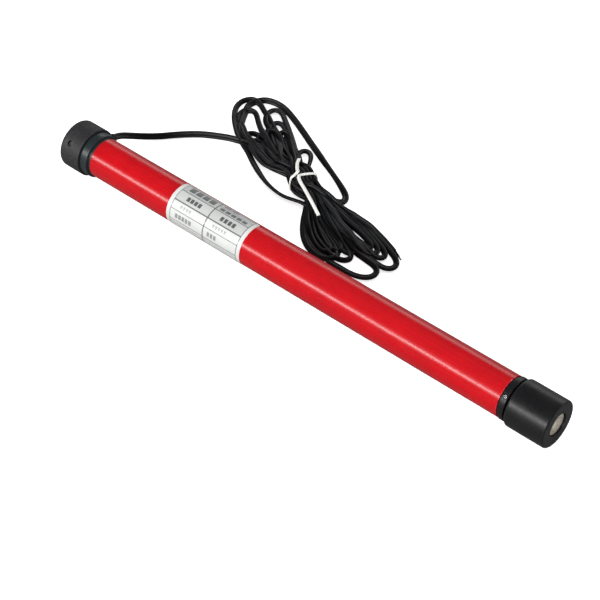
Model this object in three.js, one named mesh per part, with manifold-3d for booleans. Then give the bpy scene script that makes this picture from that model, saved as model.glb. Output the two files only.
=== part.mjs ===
// A tubular roller-blind motor: a slim tube that slides into the roller, with its electronics,
// its motor and a three-stage planetary gearbox inside, a fixed head at one end and a turning
// drive adaptor at the other. Millimetres. +X runs along the tube from the head to the drive
// end, +Z is up, and the table is z = 0. A station is a distance along the tube, counted from
// the joint between the head and the tube.
import * as THREE from "three";
import { mergeVertices } from "three/addons/utils/BufferGeometryUtils.js";
import Module from "manifold-3d";

// ---------------------------------------------------------------- driving dimensions
const TUBE_RADIUS = 12.5;
const TUBE_WALL = 1;
const TUBE_LENGTH = 300;
const HEAD_RADIUS = 15.2;
const HEAD_LENGTH = 23.3;
const CROWN_RADIUS = 13.8;
const CROWN_WIDTH = 7;
const SPIGOT_RADIUS = 11.2;
const SPIGOT_DEPTH = 14;
const COLLAR_RADIUS = 12.8;
const COLLAR_LENGTH = 4;
const ADAPTOR_RADIUS = 14.1;
const ADAPTOR_LENGTH = 25.2;
const ADAPTOR_GAP = 1.1;
const LABEL_START = 63.5;
const LABEL_LENGTH = 57;
const LABEL_ANGLES = [57, 222]; // degrees round the tube, 0 at +Y and 90 at the top
const BUTTON_STATION = -16.6;
const BUTTON_ANGLE = 140;
const OUTLET_STATION = -13.2;
const OUTLET_ANGLE = -10;
const CORD_RADIUS = 1.7;
const HANK_HEIGHT = 10.5;
const CLEARANCE = 0.3; // between pieces that rest on each other

// the gear train: three equal planetary stages that share one ring gear
const MODULE = 0.4;
const SUN_TEETH = 9;
const PLANET_TEETH = 18;
const RING_TEETH = 45;
const PLANETS = 3;
const ADDENDUM = 0.8; // of the module
const DEDENDUM = 1.25; // of the module
const TOOTH_SHARE = 0.78; // tooth width at the pitch circle, of half a tooth pitch
const FLANK = Math.tan(THREE.MathUtils.degToRad(20));
const PIN_RADIUS = 1;
const CARRIER_RADIUS = 8.2;

// stations of what stands in a row inside the tube
const BOARD_START = 22;
const BOARD_LENGTH = 76;
const HALL_STATION = 158;
const BELL_START = 168;
const CAN_START = 174.3;
const CAN_END = 228;
const GEARBOX_START = 235;
const GEARBOX_END = 270;
const STAGES = [
  { planets: [238, 242.5], plate: [243, 245] },
  { planets: [247, 252], plate: [252.6, 255.1] },
  { planets: [257.5, 265], plate: [265.6, 269.1] },
];
const HOUSING_START = 271;
const COLLAR_END = TUBE_LENGTH + CLEARANCE + COLLAR_LENGTH;
const ADAPTOR_START = COLLAR_END + ADAPTOR_GAP;
const ADAPTOR_END = ADAPTOR_START + ADAPTOR_LENGTH;

// the joint between head and tube, placed so that the motor is centred on x = 0
const JOINT_X = HEAD_LENGTH - (HEAD_LENGTH + ADAPTOR_END) / 2;
const AXIS_HEIGHT = HEAD_RADIUS;

// ---------------------------------------------------------------- colours
const COLOUR = {
  red: [0xc8101c, 0.3, 0.4],
  black: [0x1a1a1c, 0.6, 0],
  black_gloss: [0x121214, 0.3, 0],
  label: [0xd8d8d4, 0.5, 0],
  cord: [0x141414, 0.5, 0],
  tie: [0xe8e8e4, 0.5, 0],
  steel: [0xb8bac0, 0.3, 1],
  brass: [0xc9a44c, 0.35, 1],
  bronze: [0xa8743c, 0.45, 1],
  copper: [0xb8672e, 0.35, 1],
  ferrite: [0x3a3a3e, 0.8, 0],
  board: [0x1d6b3a, 0.5, 0],
  acetal: [0xe6e2d4, 0.5, 0],
  grey_plastic: [0x6a6e74, 0.55, 0],
  blue_plastic: [0x2050a0, 0.5, 0],
  rubber: [0x202020, 0.9, 0],
  carbon: [0x2a2a2a, 0.7, 0.2],
};

// ---------------------------------------------------------------- helpers
const wasm = await Module();
wasm.setup();
const radians = THREE.MathUtils.degToRad;
const motor = new THREE.Group();
motor.position.set(JOINT_X, 0, AXIS_HEIGHT);

// turns a shape's own x, y, z into Y, Z, X: what is drawn in a plane is extruded along the tube
const ALONG_TUBE = new THREE.Matrix4().makeBasis(
  new THREE.Vector3(0, 1, 0),
  new THREE.Vector3(0, 0, 1),
  new THREE.Vector3(1, 0, 0),
);

function addPiece(name, geometry, look) {
  const [color, roughness, metalness] = COLOUR[look];
  const material = new THREE.MeshStandardMaterial({ color, roughness, metalness });
  const mesh = new THREE.Mesh(geometry, material);
  mesh.name = name;
  motor.add(mesh);
  return mesh;
}

// a body of revolution about the tube's axis: the profile is a list of [station, radius]
function turned(profile, sides = 32) {
  const points = profile.map(([station, radius]) => new THREE.Vector2(radius, station));
  const geometry = new THREE.LatheGeometry(points, sides);
  return geometry.rotateZ(-Math.PI / 2);
}

// a ring from station a to station b, with an optional chamfer on its outer edges
function ring(inner, outer, a, b, sides = 32, chamfer = 0) {
  const profile = [[a, inner]];
  profile.push([b, inner]);
  if (chamfer > 0) profile.push([b, outer - chamfer], [b - chamfer, outer]);
  else profile.push([b, outer]);
  if (chamfer > 0) profile.push([a + chamfer, outer], [a, outer - chamfer]);
  else profile.push([a, outer]);
  profile.push([a, inner]);
  return turned(profile.reverse(), sides);
}

function disc(radius, a, b, sides = 32) {
  return turned([[b, 0], [b, radius], [a, radius], [a, 0]].reverse(), sides);
}

// a flat shape, drawn with its x as Y and its y as Z, extruded from station a to station b
function extruded(shape, a, b) {
  const geometry = new THREE.ExtrudeGeometry(shape, {
    depth: b - a,
    bevelEnabled: false,
    curveSegments: 12,
  });
  return geometry.translate(0, 0, a).applyMatrix4(ALONG_TUBE);
}

function box(a, b, [y0, y1], [z0, z1]) {
  const geometry = new THREE.BoxGeometry(b - a, y1 - y0, z1 - z0);
  return geometry.translate((a + b) / 2, (y0 + y1) / 2, (z0 + z1) / 2);
}

// a polygon through points given as [angle, radius]
function polarShape(points) {
  const corners = points.map(([angle, radius]) =>
    new THREE.Vector2(radius * Math.cos(angle), radius * Math.sin(angle)));
  return new THREE.Shape(corners);
}

function circlePath(radius, sides) {
  const corners = [];
  for (let i = 0; i < sides; i += 1) {
    const angle = (2 * Math.PI * i) / sides;
    corners.push(new THREE.Vector2(radius * Math.cos(angle), radius * Math.sin(angle)));
  }
  return new THREE.Path(corners);
}

// part of a ring between two angles, as a flat shape
function arcShape(inner, outer, from, to, sides) {
  const points = [];
  for (let i = 0; i <= sides; i += 1) {
    points.push([from + ((to - from) * i) / sides, outer]);
  }
  for (let i = sides; i >= 0; i -= 1) {
    points.push([from + ((to - from) * i) / sides, inner]);
  }
  return polarShape(points);
}

function toSolid(geometry) {
  const bare = geometry.index ? geometry.toNonIndexed() : geometry.clone();
  bare.deleteAttribute("normal");
  bare.deleteAttribute("uv");
  const merged = mergeVertices(bare, 1e-4);
  const corners = merged.index.array;
  const kept = [];
  for (let i = 0; i < corners.length; i += 3) {
    const [a, b, c] = [corners[i], corners[i + 1], corners[i + 2]];
    if (a !== b && b !== c && c !== a) kept.push(a, b, c);
  }
  return new wasm.Manifold(new wasm.Mesh({
    numProp: 3,
    vertProperties: merged.attributes.position.array,
    triVerts: new Uint32Array(kept),
  }));
}

function toGeometry(solid) {
  const mesh = solid.getMesh();
  const geometry = new THREE.BufferGeometry();
  geometry.setAttribute("position", new THREE.BufferAttribute(mesh.vertProperties, 3));
  geometry.setIndex(new THREE.BufferAttribute(mesh.triVerts, 1));
  return geometry.toNonIndexed();
}

function cut(geometry, ...tools) {
  let solid = toSolid(geometry);
  for (const tool of tools) solid = solid.subtract(toSolid(tool));
  return toGeometry(solid);
}

function joined(geometry, ...others) {
  let solid = toSolid(geometry);
  for (const other of others) solid = solid.add(toSolid(other));
  return toGeometry(solid);
}

// a rod that stands out from the tube's axis at a station and an angle, from radius r0 to r1
function radialRod(radius, r0, r1, station, angle, sides = 16) {
  const geometry = new THREE.CylinderGeometry(radius, radius, r1 - r0, sides);
  geometry.translate(0, (r0 + r1) / 2, 0).rotateX(radians(angle));
  return geometry.translate(station, 0, 0);
}

// ---------------------------------------------------------------- head end
// the cross-shaped recess in the head's outer face takes the wall bracket's tongue
const RECESS = { arm: 5, span: 18, depth: 5.5 };

function headCap() {
  const shoulder = -CROWN_WIDTH - 2 * CLEARANCE;
  const body = turned([
    [-HEAD_LENGTH, 0],
    [-HEAD_LENGTH, HEAD_RADIUS - 1.6],
    [-HEAD_LENGTH + 0.6, HEAD_RADIUS - 0.6],
    [-HEAD_LENGTH + 1.6, HEAD_RADIUS],
    [shoulder - 0.5, HEAD_RADIUS],
    [shoulder, HEAD_RADIUS - 0.5],
    [shoulder, SPIGOT_RADIUS],
    [SPIGOT_DEPTH - 1, SPIGOT_RADIUS],
    [SPIGOT_DEPTH, SPIGOT_RADIUS - 1],
    [SPIGOT_DEPTH, 0],
  ], 36);
  const outer = -HEAD_LENGTH - 1;
  const floor = -HEAD_LENGTH + RECESS.depth;
  const [half, reach] = [RECESS.arm / 2, RECESS.span / 2];
  return cut(
    body,
    box(outer, floor, [-reach, reach], [-half, half]),
    box(outer, floor, [-half, half], [-reach, reach]),
    radialRod(1.7, 11, 17, BUTTON_STATION, BUTTON_ANGLE, 16),
    radialRod(2.6, 0, 17, OUTLET_STATION, OUTLET_ANGLE, 16),
    disc(3.2, OUTLET_STATION, SPIGOT_DEPTH + 1, 16),
  );
}

function headEnd() {
  addPiece("head_cap", headCap(), "black");
  const crown = ring(SPIGOT_RADIUS + 0.3, CROWN_RADIUS, -CROWN_WIDTH - CLEARANCE, -CLEARANCE, 36, 0.5);
  addPiece("crown_ring", crown, "black");
  const button = radialRod(1.4, 11.9, 14.2, BUTTON_STATION, BUTTON_ANGLE, 12);
  addPiece("setting_button", button, "black_gloss");
  const grommet = new THREE.LatheGeometry([
    new THREE.Vector2(0, 10),
    new THREE.Vector2(2.3, 10),
    new THREE.Vector2(2.3, 15.6),
    new THREE.Vector2(3.4, 15.6),
    new THREE.Vector2(3.2, 17),
    new THREE.Vector2(2.5, 21),
    new THREE.Vector2(0, 21),
  ], 16);
  grommet.rotateX(radians(OUTLET_ANGLE)).translate(OUTLET_STATION, 0, 0);
  addPiece("cord_grommet", grommet, "rubber");
  addPiece("inner_lead", disc(1.6, -9, 23, 8), "cord");
}

// ---------------------------------------------------------------- tube and label
function tubeAndLabel() {
  const tube = ring(TUBE_RADIUS - TUBE_WALL, TUBE_RADIUS, 0, TUBE_LENGTH, 48);
  addPiece("motor_tube", tube, "red");
  const [from, to] = LABEL_ANGLES.map(radians);
  const film = arcShape(TUBE_RADIUS + 0.08, TUBE_RADIUS + 0.2, from, to, 30);
  addPiece("rating_label", extruded(film, LABEL_START, LABEL_START + LABEL_LENGTH), "label");
}

// ---------------------------------------------------------------- electronics
function electronics() {
  const end = BOARD_START + BOARD_LENGTH;
  const tray = arcShape(9.9, 11.1, radians(190), radians(350), 14);
  addPiece("board_carrier", extruded(tray, BOARD_START, end), "grey_plastic");
  addPiece("circuit_board", box(BOARD_START + 4, end - 2, [-8.5, 8.5], [-1.5, -0.1]), "board");
  const onBoard = [0.2, 6.2];
  addPiece("terminal_block", box(27, 36, [-5, 5], onBoard), "blue_plastic");
  const can = new THREE.CylinderGeometry(3.1, 3.1, 8.4, 14);
  can.rotateX(Math.PI / 2).translate(45, 0, 4.4);
  addPiece("smoothing_capacitor", can, "black_gloss");
  addPiece("motor_relay", box(54, 69, [-5.5, 5.5], [0.2, 8]), "black_gloss");
  addPiece("controller_chip", box(76, 86, [-4, 4], [0.2, 1.8]), "black_gloss");
  for (const [name, y] of [["motor_wire_plus", 3.2], ["motor_wire_minus", -3.2]]) {
    const wire = disc(0.7, end - 1.5, HALL_STATION - 1, 8);
    addPiece(name, wire.translate(0, y, 5), "copper");
  }
  addPiece("hall_board", ring(2.6, 9.5, HALL_STATION, HALL_STATION + 1.2, 24), "board");
}

// ---------------------------------------------------------------- motor
function armature() {
  const poles = 5;
  const [coreStart, coreEnd] = [186, 214];
  const outline = [];
  for (let i = 0; i < poles; i += 1) {
    const middle = (2 * Math.PI * i) / poles;
    outline.push([middle - 0.48, 7.1], [middle - 0.24, 7.2], [middle, 7.2]);
    outline.push([middle + 0.24, 7.2], [middle + 0.48, 7.1], [middle + 0.42, 6.1]);
    outline.push([middle + 0.28, 5.8], [middle + Math.PI / poles, 2.9]);
    outline.push([middle + (2 * Math.PI) / poles - 0.28, 5.8]);
    outline.push([middle + (2 * Math.PI) / poles - 0.42, 6.1]);
  }
  const star = polarShape(outline);
  star.holes.push(circlePath(1.75, 12));
  addPiece("armature_core", extruded(star, coreStart, coreEnd), "steel");
  // the copper is one piece: a bar in each slot, joined by the end turns
  const gap = CLEARANCE;
  const bars = [];
  for (let i = 0; i < poles; i += 1) {
    const middle = (2 * Math.PI * (i + 0.5)) / poles;
    const bar = polarShape([[middle, 4.2], [middle + 0.13, 5.6], [middle - 0.13, 5.6]].reverse());
    bars.push(extruded(bar, coreStart - 1, coreEnd + 1));
  }
  const front = ring(2.6, 6.4, coreEnd + gap, coreEnd + 5.5, 16);
  const rear = ring(2.6, 6.4, coreStart - 5.5, coreStart - gap, 16);
  addPiece("armature_windings", joined(front, rear, ...bars), "copper");
}

function electricMotor() {
  const bell = ring(3.7, 10.9, BELL_START, CAN_START - CLEARANCE, 32, 0.6);
  addPiece("end_bell", bell, "acetal");
  const can = turned([
    [CAN_START, 10.2], [CAN_END - 1.2, 10.2], [CAN_END - 1.2, 3.3],
    [CAN_END, 3.3], [CAN_END, 10.2], [CAN_END - 0.8, 11], [CAN_START, 11], [CAN_START, 10.2],
  ].reverse(), 32);
  addPiece("motor_can", can, "steel");
  for (const [name, middle] of [["magnet_upper", 90], ["magnet_lower", 270]]) {
    const arc = arcShape(7.7, 9.9, radians(middle - 68), radians(middle + 68), 12);
    addPiece(name, extruded(arc, 181, 219), "ferrite");
  }
  for (const [name, side] of [["brush_left", 1], ["brush_right", -1]]) {
    const span = [side * 3.6, side * 7.2].sort((a, b) => a - b);
    addPiece(name, box(175.4, 179, span, [-1.3, 1.3]), "carbon");
  }
  addPiece("rear_bush", ring(1.6, 3.4, BELL_START + 1, CAN_START - 1, 16), "bronze");
  addPiece("front_bush", ring(1.6, 3, CAN_END - 2, CAN_END + 2.6, 16), "bronze");
  addPiece("commutator", ring(1.75, 3.4, 175, 179.6, 15), "copper");
  armature();
  const shaft = turned([
    [160, 0], [160, 1.5], [236, 1.5], [236, 0.75], [242.6, 0.75], [242.6, 0],
  ], 16);
  const flat = box(159, 161.5, [-3, 3], [1.1, 3]);
  addPiece("rotor_shaft", cut(shaft, flat), "steel");
  addPiece("encoder_magnet", ring(1.75, 5.5, 161.8, 165.8, 20), "ferrite");
  mountPlate();
}

function mountPlate() {
  const [start, end, reach] = [228.4, 231.4, 7];
  const hole = (y) => disc(1.35, start - 1, end + 1, 10).translate(0, y, 0);
  const plate = ring(3.3, 11.1, start, end, 32);
  addPiece("mount_plate", cut(plate, hole(reach), hole(-reach)), "steel");
  for (const [name, y] of [["motor_screw_1", reach], ["motor_screw_2", -reach]]) {
    const screw = turned([
      [end + 1.8, 0], [end + 1.8, 1.7], [end + 0.4, 2], [end + 0.4, 1],
      [start + 0.1, 1], [start + 0.1, 0],
    ].reverse(), 10);
    addPiece(name, screw.translate(0, y, 0), "steel");
  }
  addPiece("damper_ring", ring(9.4, 11.1, end + 0.4, GEARBOX_START - CLEARANCE, 32), "rubber");
}

// ---------------------------------------------------------------- gears
// corners of one tooth, as [angle from its middle, radius], for teeth that point out (+1) or in (-1)
function toothCorners(teeth, side) {
  const pitchRadius = (teeth * MODULE) / 2;
  const width = (TOOTH_SHARE * Math.PI * MODULE) / 2;
  const tip = pitchRadius + side * ADDENDUM * MODULE;
  const root = pitchRadius - side * DEDENDUM * MODULE;
  const tipHalf = (width / 2 - ADDENDUM * MODULE * FLANK) / tip;
  const rootHalf = (width / 2 + DEDENDUM * MODULE * FLANK) / root;
  return [[-rootHalf, root], [-tipHalf, tip], [tipHalf, tip], [rootHalf, root]];
}

function gearOutline(teeth, side, turn = 0) {
  const points = [];
  for (let i = 0; i < teeth; i += 1) {
    const middle = turn + (2 * Math.PI * i) / teeth;
    for (const [angle, radius] of toothCorners(teeth, side)) {
      points.push([middle + angle, radius]);
    }
  }
  return points;
}

function sunGear(a, b, bore = 0) {
  const shape = polarShape(gearOutline(SUN_TEETH, 1));
  if (bore > 0) shape.holes.push(circlePath(bore, 10));
  return extruded(shape, a, b);
}

// a planet has a gap, not a tooth, on the line to the sun
function planetGear(a, b) {
  const shape = polarShape(gearOutline(PLANET_TEETH, 1, Math.PI / PLANET_TEETH));
  shape.holes.push(circlePath(PIN_RADIUS + 0.3, 10));
  return extruded(shape, a, b);
}

function ringGear() {
  const shape = new THREE.Shape(circlePath(11.1, 45).getPoints());
  shape.holes.push(new THREE.Path(polarShape(gearOutline(RING_TEETH, -1)).getPoints()));
  return extruded(shape, GEARBOX_START, GEARBOX_END);
}

const ORBIT = ((SUN_TEETH + PLANET_TEETH) * MODULE) / 2;

function carrier(stage) {
  const plate = disc(CARRIER_RADIUS, ...stage.plate, 30);
  const pins = [];
  for (let i = 0; i < PLANETS; i += 1) {
    const angle = (2 * Math.PI * i) / PLANETS;
    const pin = disc(PIN_RADIUS, stage.planets[0] + 0.2, stage.plate[0] + 0.5, 8);
    pins.push(pin.translate(0, ORBIT * Math.cos(angle), ORBIT * Math.sin(angle)));
  }
  return [plate, ...pins];
}

function gearTrain() {
  addPiece("ring_gear", ringGear(), "steel");
  addPiece("sun_gear", sunGear(STAGES[0].planets[0], STAGES[0].planets[1] + 0.2, 0.95), "brass");
  STAGES.forEach((stage, index) => {
    for (let i = 0; i < PLANETS; i += 1) {
      const angle = (2 * Math.PI * i) / PLANETS;
      const name = `planet_${index + 1}_${i + 1}`;
      const planet = addPiece(name, planetGear(...stage.planets), index === 2 ? "steel" : "acetal");
      planet.position.set(0, ORBIT * Math.cos(angle), ORBIT * Math.sin(angle));
      planet.rotation.x = angle;
    }
    if (index < 2) {
      const next = sunGear(stage.plate[1] - 0.5, STAGES[index + 1].planets[1] + 0.2);
      addPiece(`carrier_${index + 1}`, joined(...carrier(stage), next), "steel");
    }
  });
}

// ---------------------------------------------------------------- output end
const HEX_START = COLLAR_END + 4.2;
const COUNTERBORE = { radius: 7, floor: ADAPTOR_END - 3.4 };

function hexagon(radius) {
  return new THREE.Shape(circlePath(radius, 6).getPoints());
}

function outputShaft() {
  const stage = STAGES[2];
  const tip = COUNTERBORE.floor - 0.4;
  const round = turned([
    [stage.plate[1] - 0.5, 0], [stage.plate[1] - 0.5, 4],
    [COLLAR_END + 0.4, 4], [COLLAR_END + 0.4, 3.3], [COLLAR_END + 1.4, 3.3],
    [COLLAR_END + 1.4, 4], [HEX_START, 4], [HEX_START, 0],
  ], 24);
  const drive = extruded(hexagon(4), HEX_START - 0.2, tip);
  const thread = disc(2.2, tip - 12, tip + 1, 10);
  return cut(joined(...carrier(stage), round, drive), thread);
}

function driveAdaptor() {
  const bossRadius = 9.5;
  const body = turned([
    [COLLAR_END + 0.6, 0],
    [COLLAR_END + 0.6, bossRadius],
    [ADAPTOR_START, bossRadius],
    [ADAPTOR_START, ADAPTOR_RADIUS - 1.8],
    [ADAPTOR_START + 1.8, ADAPTOR_RADIUS],
    [ADAPTOR_END - 0.6, ADAPTOR_RADIUS],
    [ADAPTOR_END, ADAPTOR_RADIUS - 0.6],
    [ADAPTOR_END, 0],
  ], 36);
  const clipPocket = disc(6.4, COLLAR_END - 1, COLLAR_END + 2, 20);
  const bore = disc(4.4, COLLAR_END + 1, HEX_START + 0.4, 20);
  const socket = extruded(hexagon(4.35), HEX_START, ADAPTOR_END - 1);
  const pocket = disc(COUNTERBORE.radius, COUNTERBORE.floor, ADAPTOR_END + 1, 28);
  return cut(body, clipPocket, bore, socket, pocket);
}

function outputScrew() {
  const seat = COUNTERBORE.floor + 2.2;
  const head = turned([
    [COUNTERBORE.floor - 9, 0], [COUNTERBORE.floor - 9, 1.9], [seat, 1.9], [seat, 3.9],
    [seat + 0.5, 3.9], [seat + 0.9, 3.1], [seat + 1, 0],
  ], 24);
  const slots = [
    box(seat + 0.2, seat + 3, [-2.3, 2.3], [-0.4, 0.4]),
    box(seat + 0.2, seat + 3, [-0.4, 0.4], [-2.3, 2.3]),
  ];
  return cut(head, ...slots);
}

function outputEnd() {
  addPiece("thrust_washer", ring(4.3, 8, STAGES[2].plate[1] + 0.3, HOUSING_START - 0.4, 24), "bronze");
  const housing = turned([
    [HOUSING_START, 5.6], [HOUSING_START, SPIGOT_RADIUS], [TUBE_LENGTH + CLEARANCE, SPIGOT_RADIUS],
    [TUBE_LENGTH + CLEARANCE, COLLAR_RADIUS - 0.3], [TUBE_LENGTH + CLEARANCE + 0.3, COLLAR_RADIUS],
    [COLLAR_END - 0.5, COLLAR_RADIUS], [COLLAR_END, COLLAR_RADIUS - 0.5], [COLLAR_END, 5.6],
    [HOUSING_START, 5.6],
  ], 36);
  const screwStation = TUBE_LENGTH + 2.6;
  const hole = radialRod(1.4, 9, 14, screwStation, 134, 12);
  addPiece("bearing_housing", cut(housing, hole), "black_gloss");
  addPiece("housing_screw", radialRod(1.1, 9.3, COLLAR_RADIUS - 0.1, screwStation, 134, 10), "steel");
  addPiece("output_bush_rear", ring(4.1, 5.3, 273, 281, 24), "bronze");
  addPiece("output_bush_front", ring(4.1, 5.3, 294, COLLAR_END - 0.6, 24), "bronze");
  addPiece("output_shaft", outputShaft(), "steel");
  const clip = arcShape(3.5, 5.6, radians(115), radians(425), 20);
  addPiece("retaining_clip", extruded(clip, COLLAR_END + 0.6, COLLAR_END + 1.2), "steel");
  addPiece("drive_adaptor", driveAdaptor(), "black_gloss");
  const washer = ring(2.3, 6.7, COUNTERBORE.floor + 0.3, COUNTERBORE.floor + 1.9, 32);
  addPiece("adaptor_washer", washer, "steel");
  addPiece("adaptor_screw", outputScrew(), "steel");
}

// ---------------------------------------------------------------- cord
// the free lead from the grommet to the hank: [station, y, height above the table]
const LEAD = [
  [OUTLET_STATION, 21.1, 11.5],
  [-13.2, 25.5, 10.2],
  [-11, 33, 6.6],
  [-5, 42.5, 3.4],
  [5, 55, 1.9],
  [16, 65.5, 1.75],
  [25.5, 71.3, 1.75],
  [34, 75.4, 1.75],
];
// the hank's outline on the table, going round it: [station, y]
const HANK_OUTLINE = [
  [11, 103], [15, 119], [38, 123], [75, 108], [106, 94], [129, 82], [134, 71],
  [150, 71], [168, 66], [188, 56], [190, 46], [180, 28], [160, 24], [136, 25],
  [116, 38], [95, 51], [74, 57], [52, 69], [28, 83],
];
const WAIST = { station: 95.5, y: 71.5, turn: radians(-35) };

// from the waist's own directions, along and across the bundle, to station and y
function fromWaist(along, across) {
  const [c, s] = [Math.cos(WAIST.turn), Math.sin(WAIST.turn)];
  return new THREE.Vector2(
    WAIST.station + along * c - across * s,
    WAIST.y + along * s + across * c,
  );
}

function hankShape() {
  const points = HANK_OUTLINE.map(([x, y]) => new THREE.Vector3(x, y, 0));
  const smooth = new THREE.CatmullRomCurve3(points, true).getPoints(57).slice(0, -1);
  const shape = new THREE.Shape(smooth.map((p) => new THREE.Vector2(p.x, p.y)).reverse());
  // two windows, one on each side of the bound waist
  for (const side of [1, -1]) {
    const corners = [[-8, 7.6], [-10, 10], [-8, 12.4], [8, 12.4], [10, 10], [8, 7.6]];
    const path = corners.map(([along, across]) => fromWaist(along, side * across));
    shape.holes.push(new THREE.Path(path));
  }
  return shape;
}

function cordAndTie() {
  const floor = -AXIS_HEIGHT;
  const route = LEAD.map(([x, y, z]) => new THREE.Vector3(x, y, z + floor));
  const circle = new THREE.Shape(circlePath(CORD_RADIUS, 8).getPoints());
  const lead = new THREE.ExtrudeGeometry(circle, {
    steps: 12,
    extrudePath: new THREE.CatmullRomCurve3(route),
    bevelEnabled: false,
  });
  addPiece("cord_lead", lead, "cord");
  const hank = new THREE.ExtrudeGeometry(hankShape(), { depth: HANK_HEIGHT, bevelEnabled: false });
  const groove = new THREE.BoxGeometry(4, 17, 2);
  groove.rotateZ(WAIST.turn).translate(WAIST.station, WAIST.y, 0);
  addPiece("cord_hank", cut(hank, groove).translate(0, 0, floor), "cord");
  // the tie goes round the waist, through both windows
  const [half, top, thickness] = [8.6, HANK_HEIGHT + 1.1, 0.7];
  const [inner, ceiling] = [half - thickness, top - thickness];
  const corner = ([x, y]) => new THREE.Vector2(x, y);
  const outside = [[-half, 0], [half, 0], [half, top], [-half, top]].map(corner);
  const band = new THREE.Shape(outside);
  const inside = [[-inner, thickness], [-inner, ceiling], [inner, ceiling], [inner, thickness]];
  band.holes.push(new THREE.Path(inside.map(corner)));
  const tie = extruded(band, -1.3, 1.3).rotateZ(WAIST.turn);
  addPiece("cable_tie", tie.translate(WAIST.station, WAIST.y, floor), "tie");
}

headEnd();
tubeAndLabel();
electronics();
electricMotor();
gearTrain();
outputEnd();
cordAndTie();

export default motor;
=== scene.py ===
# %% [markdown]
# # A tubular roller-blind motor
# The motor slides into the roller of a blind. A fixed black head carries it at one end, a black
# adaptor turns at the other end, and a red tube holds the electronics, the motor and the
# gearbox. A flat twin flex leaves the head and lies beside the tube, tied in a hank.
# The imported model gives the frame: its bodies move, and its pieces give every place used here.

# %% Load the frame
import math

import bmesh
import bpy
import numpy as np
from mathutils import Matrix, Vector


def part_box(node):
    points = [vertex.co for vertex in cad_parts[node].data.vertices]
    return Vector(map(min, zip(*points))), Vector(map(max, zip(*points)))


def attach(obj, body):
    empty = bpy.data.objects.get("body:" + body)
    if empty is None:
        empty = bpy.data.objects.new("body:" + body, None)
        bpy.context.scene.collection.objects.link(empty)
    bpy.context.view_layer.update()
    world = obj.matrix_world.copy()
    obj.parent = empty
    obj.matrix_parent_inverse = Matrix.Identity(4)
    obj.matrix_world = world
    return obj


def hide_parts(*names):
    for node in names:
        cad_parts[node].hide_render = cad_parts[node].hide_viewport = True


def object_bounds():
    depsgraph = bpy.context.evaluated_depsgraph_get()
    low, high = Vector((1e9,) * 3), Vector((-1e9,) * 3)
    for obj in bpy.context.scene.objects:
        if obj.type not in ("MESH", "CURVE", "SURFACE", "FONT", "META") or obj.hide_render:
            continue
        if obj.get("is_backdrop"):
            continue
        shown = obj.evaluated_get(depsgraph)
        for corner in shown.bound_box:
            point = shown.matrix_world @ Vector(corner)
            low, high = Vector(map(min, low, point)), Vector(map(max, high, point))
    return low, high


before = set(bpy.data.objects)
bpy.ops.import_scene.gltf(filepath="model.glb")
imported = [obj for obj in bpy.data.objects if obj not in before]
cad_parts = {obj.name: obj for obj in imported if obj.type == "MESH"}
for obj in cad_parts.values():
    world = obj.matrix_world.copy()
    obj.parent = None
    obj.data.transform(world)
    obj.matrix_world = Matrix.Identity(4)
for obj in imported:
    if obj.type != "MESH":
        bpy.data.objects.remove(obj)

cad_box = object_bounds()

# %% [markdown]
# Places on the motor are easiest to say in millimetres along the tube, across it and up from its
# axis. A station is a distance along the tube from the joint between the head and the tube. One
# small function turns such a place into the frame's metres, and the tube itself says where the
# joint and the axis are.

# %% Places on the motor
MM = 0.001
tube_low, tube_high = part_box("motor_tube")
JOINT_X = tube_low.x
AXIS_Z = (tube_low.z + tube_high.z) / 2
TUBE_RADIUS = (tube_high.z - tube_low.z) / 2 / MM
TUBE_END = (tube_high.x - tube_low.x) / MM
AXIS_HEIGHT = AXIS_Z / MM


def point(station, across=0.0, up=0.0):
    """A place in mm along the tube, across it and up from its axis, in the frame's metres."""
    return Vector((JOINT_X + station * MM, across * MM, AXIS_Z + up * MM))


def stations(node):
    """The first and last station of a node, in mm."""
    low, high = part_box(node)
    return (low.x - JOINT_X) / MM, (high.x - JOINT_X) / MM


print(f"tube: radius {TUBE_RADIUS:.2f} mm, length {TUBE_END:.1f} mm, axis {AXIS_HEIGHT:.1f} mm up")

# %% [markdown]
# The camera looks down at the motor from its drive end, with a long lens, so that the tube's two
# ends differ only a little in size. It comes first, because the free cord is checked against
# what the camera sees.

# %% The camera
VIEW_AZIMUTH = math.radians(40.73)
VIEW_ELEVATION = math.radians(44)
VIEW_DISTANCE = 0.975
LENS_MM = 105.96
AIM = point(169.5, -16.4, 0)

towards_camera = Vector((
    math.sin(VIEW_AZIMUTH) * math.cos(VIEW_ELEVATION),
    -math.cos(VIEW_AZIMUTH) * math.cos(VIEW_ELEVATION),
    math.sin(VIEW_ELEVATION),
))
camera = bpy.data.objects.new("camera", bpy.data.cameras.new("camera"))
bpy.context.scene.collection.objects.link(camera)
camera.data.lens = LENS_MM
camera.data.sensor_width = 36
camera.location = AIM + towards_camera * VIEW_DISTANCE
camera.rotation_euler = towards_camera.to_track_quat("Z", "Y").to_euler()
bpy.context.scene.camera = camera
print("camera at", [round(c, 3) for c in camera.location])

# %% [markdown]
# Most pieces are made by two helpers. One turns a profile about a line, as a lathe does, and
# rounds the profile's corners first, because moulded plastic and machined metal have no
# razor-sharp edges. The other sweeps a section along a path, for the flex and the wire tie.

# %% Mesh helpers
SHARP_EDGE = math.radians(32)


def mesh_piece(name, points, faces):
    """A new object from points in metres and faces, with smooth shading between sharp edges."""
    mesh = bpy.data.meshes.new(name)
    mesh.from_pydata([tuple(p) for p in points], [], faces)
    work = bmesh.new()
    work.from_mesh(mesh)
    bmesh.ops.remove_doubles(work, verts=work.verts, dist=1e-7)
    bmesh.ops.recalc_face_normals(work, faces=work.faces)
    work.to_mesh(mesh)
    work.free()
    piece = bpy.data.objects.new(name, mesh)
    bpy.context.scene.collection.objects.link(piece)
    shade(piece)
    return piece


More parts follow.
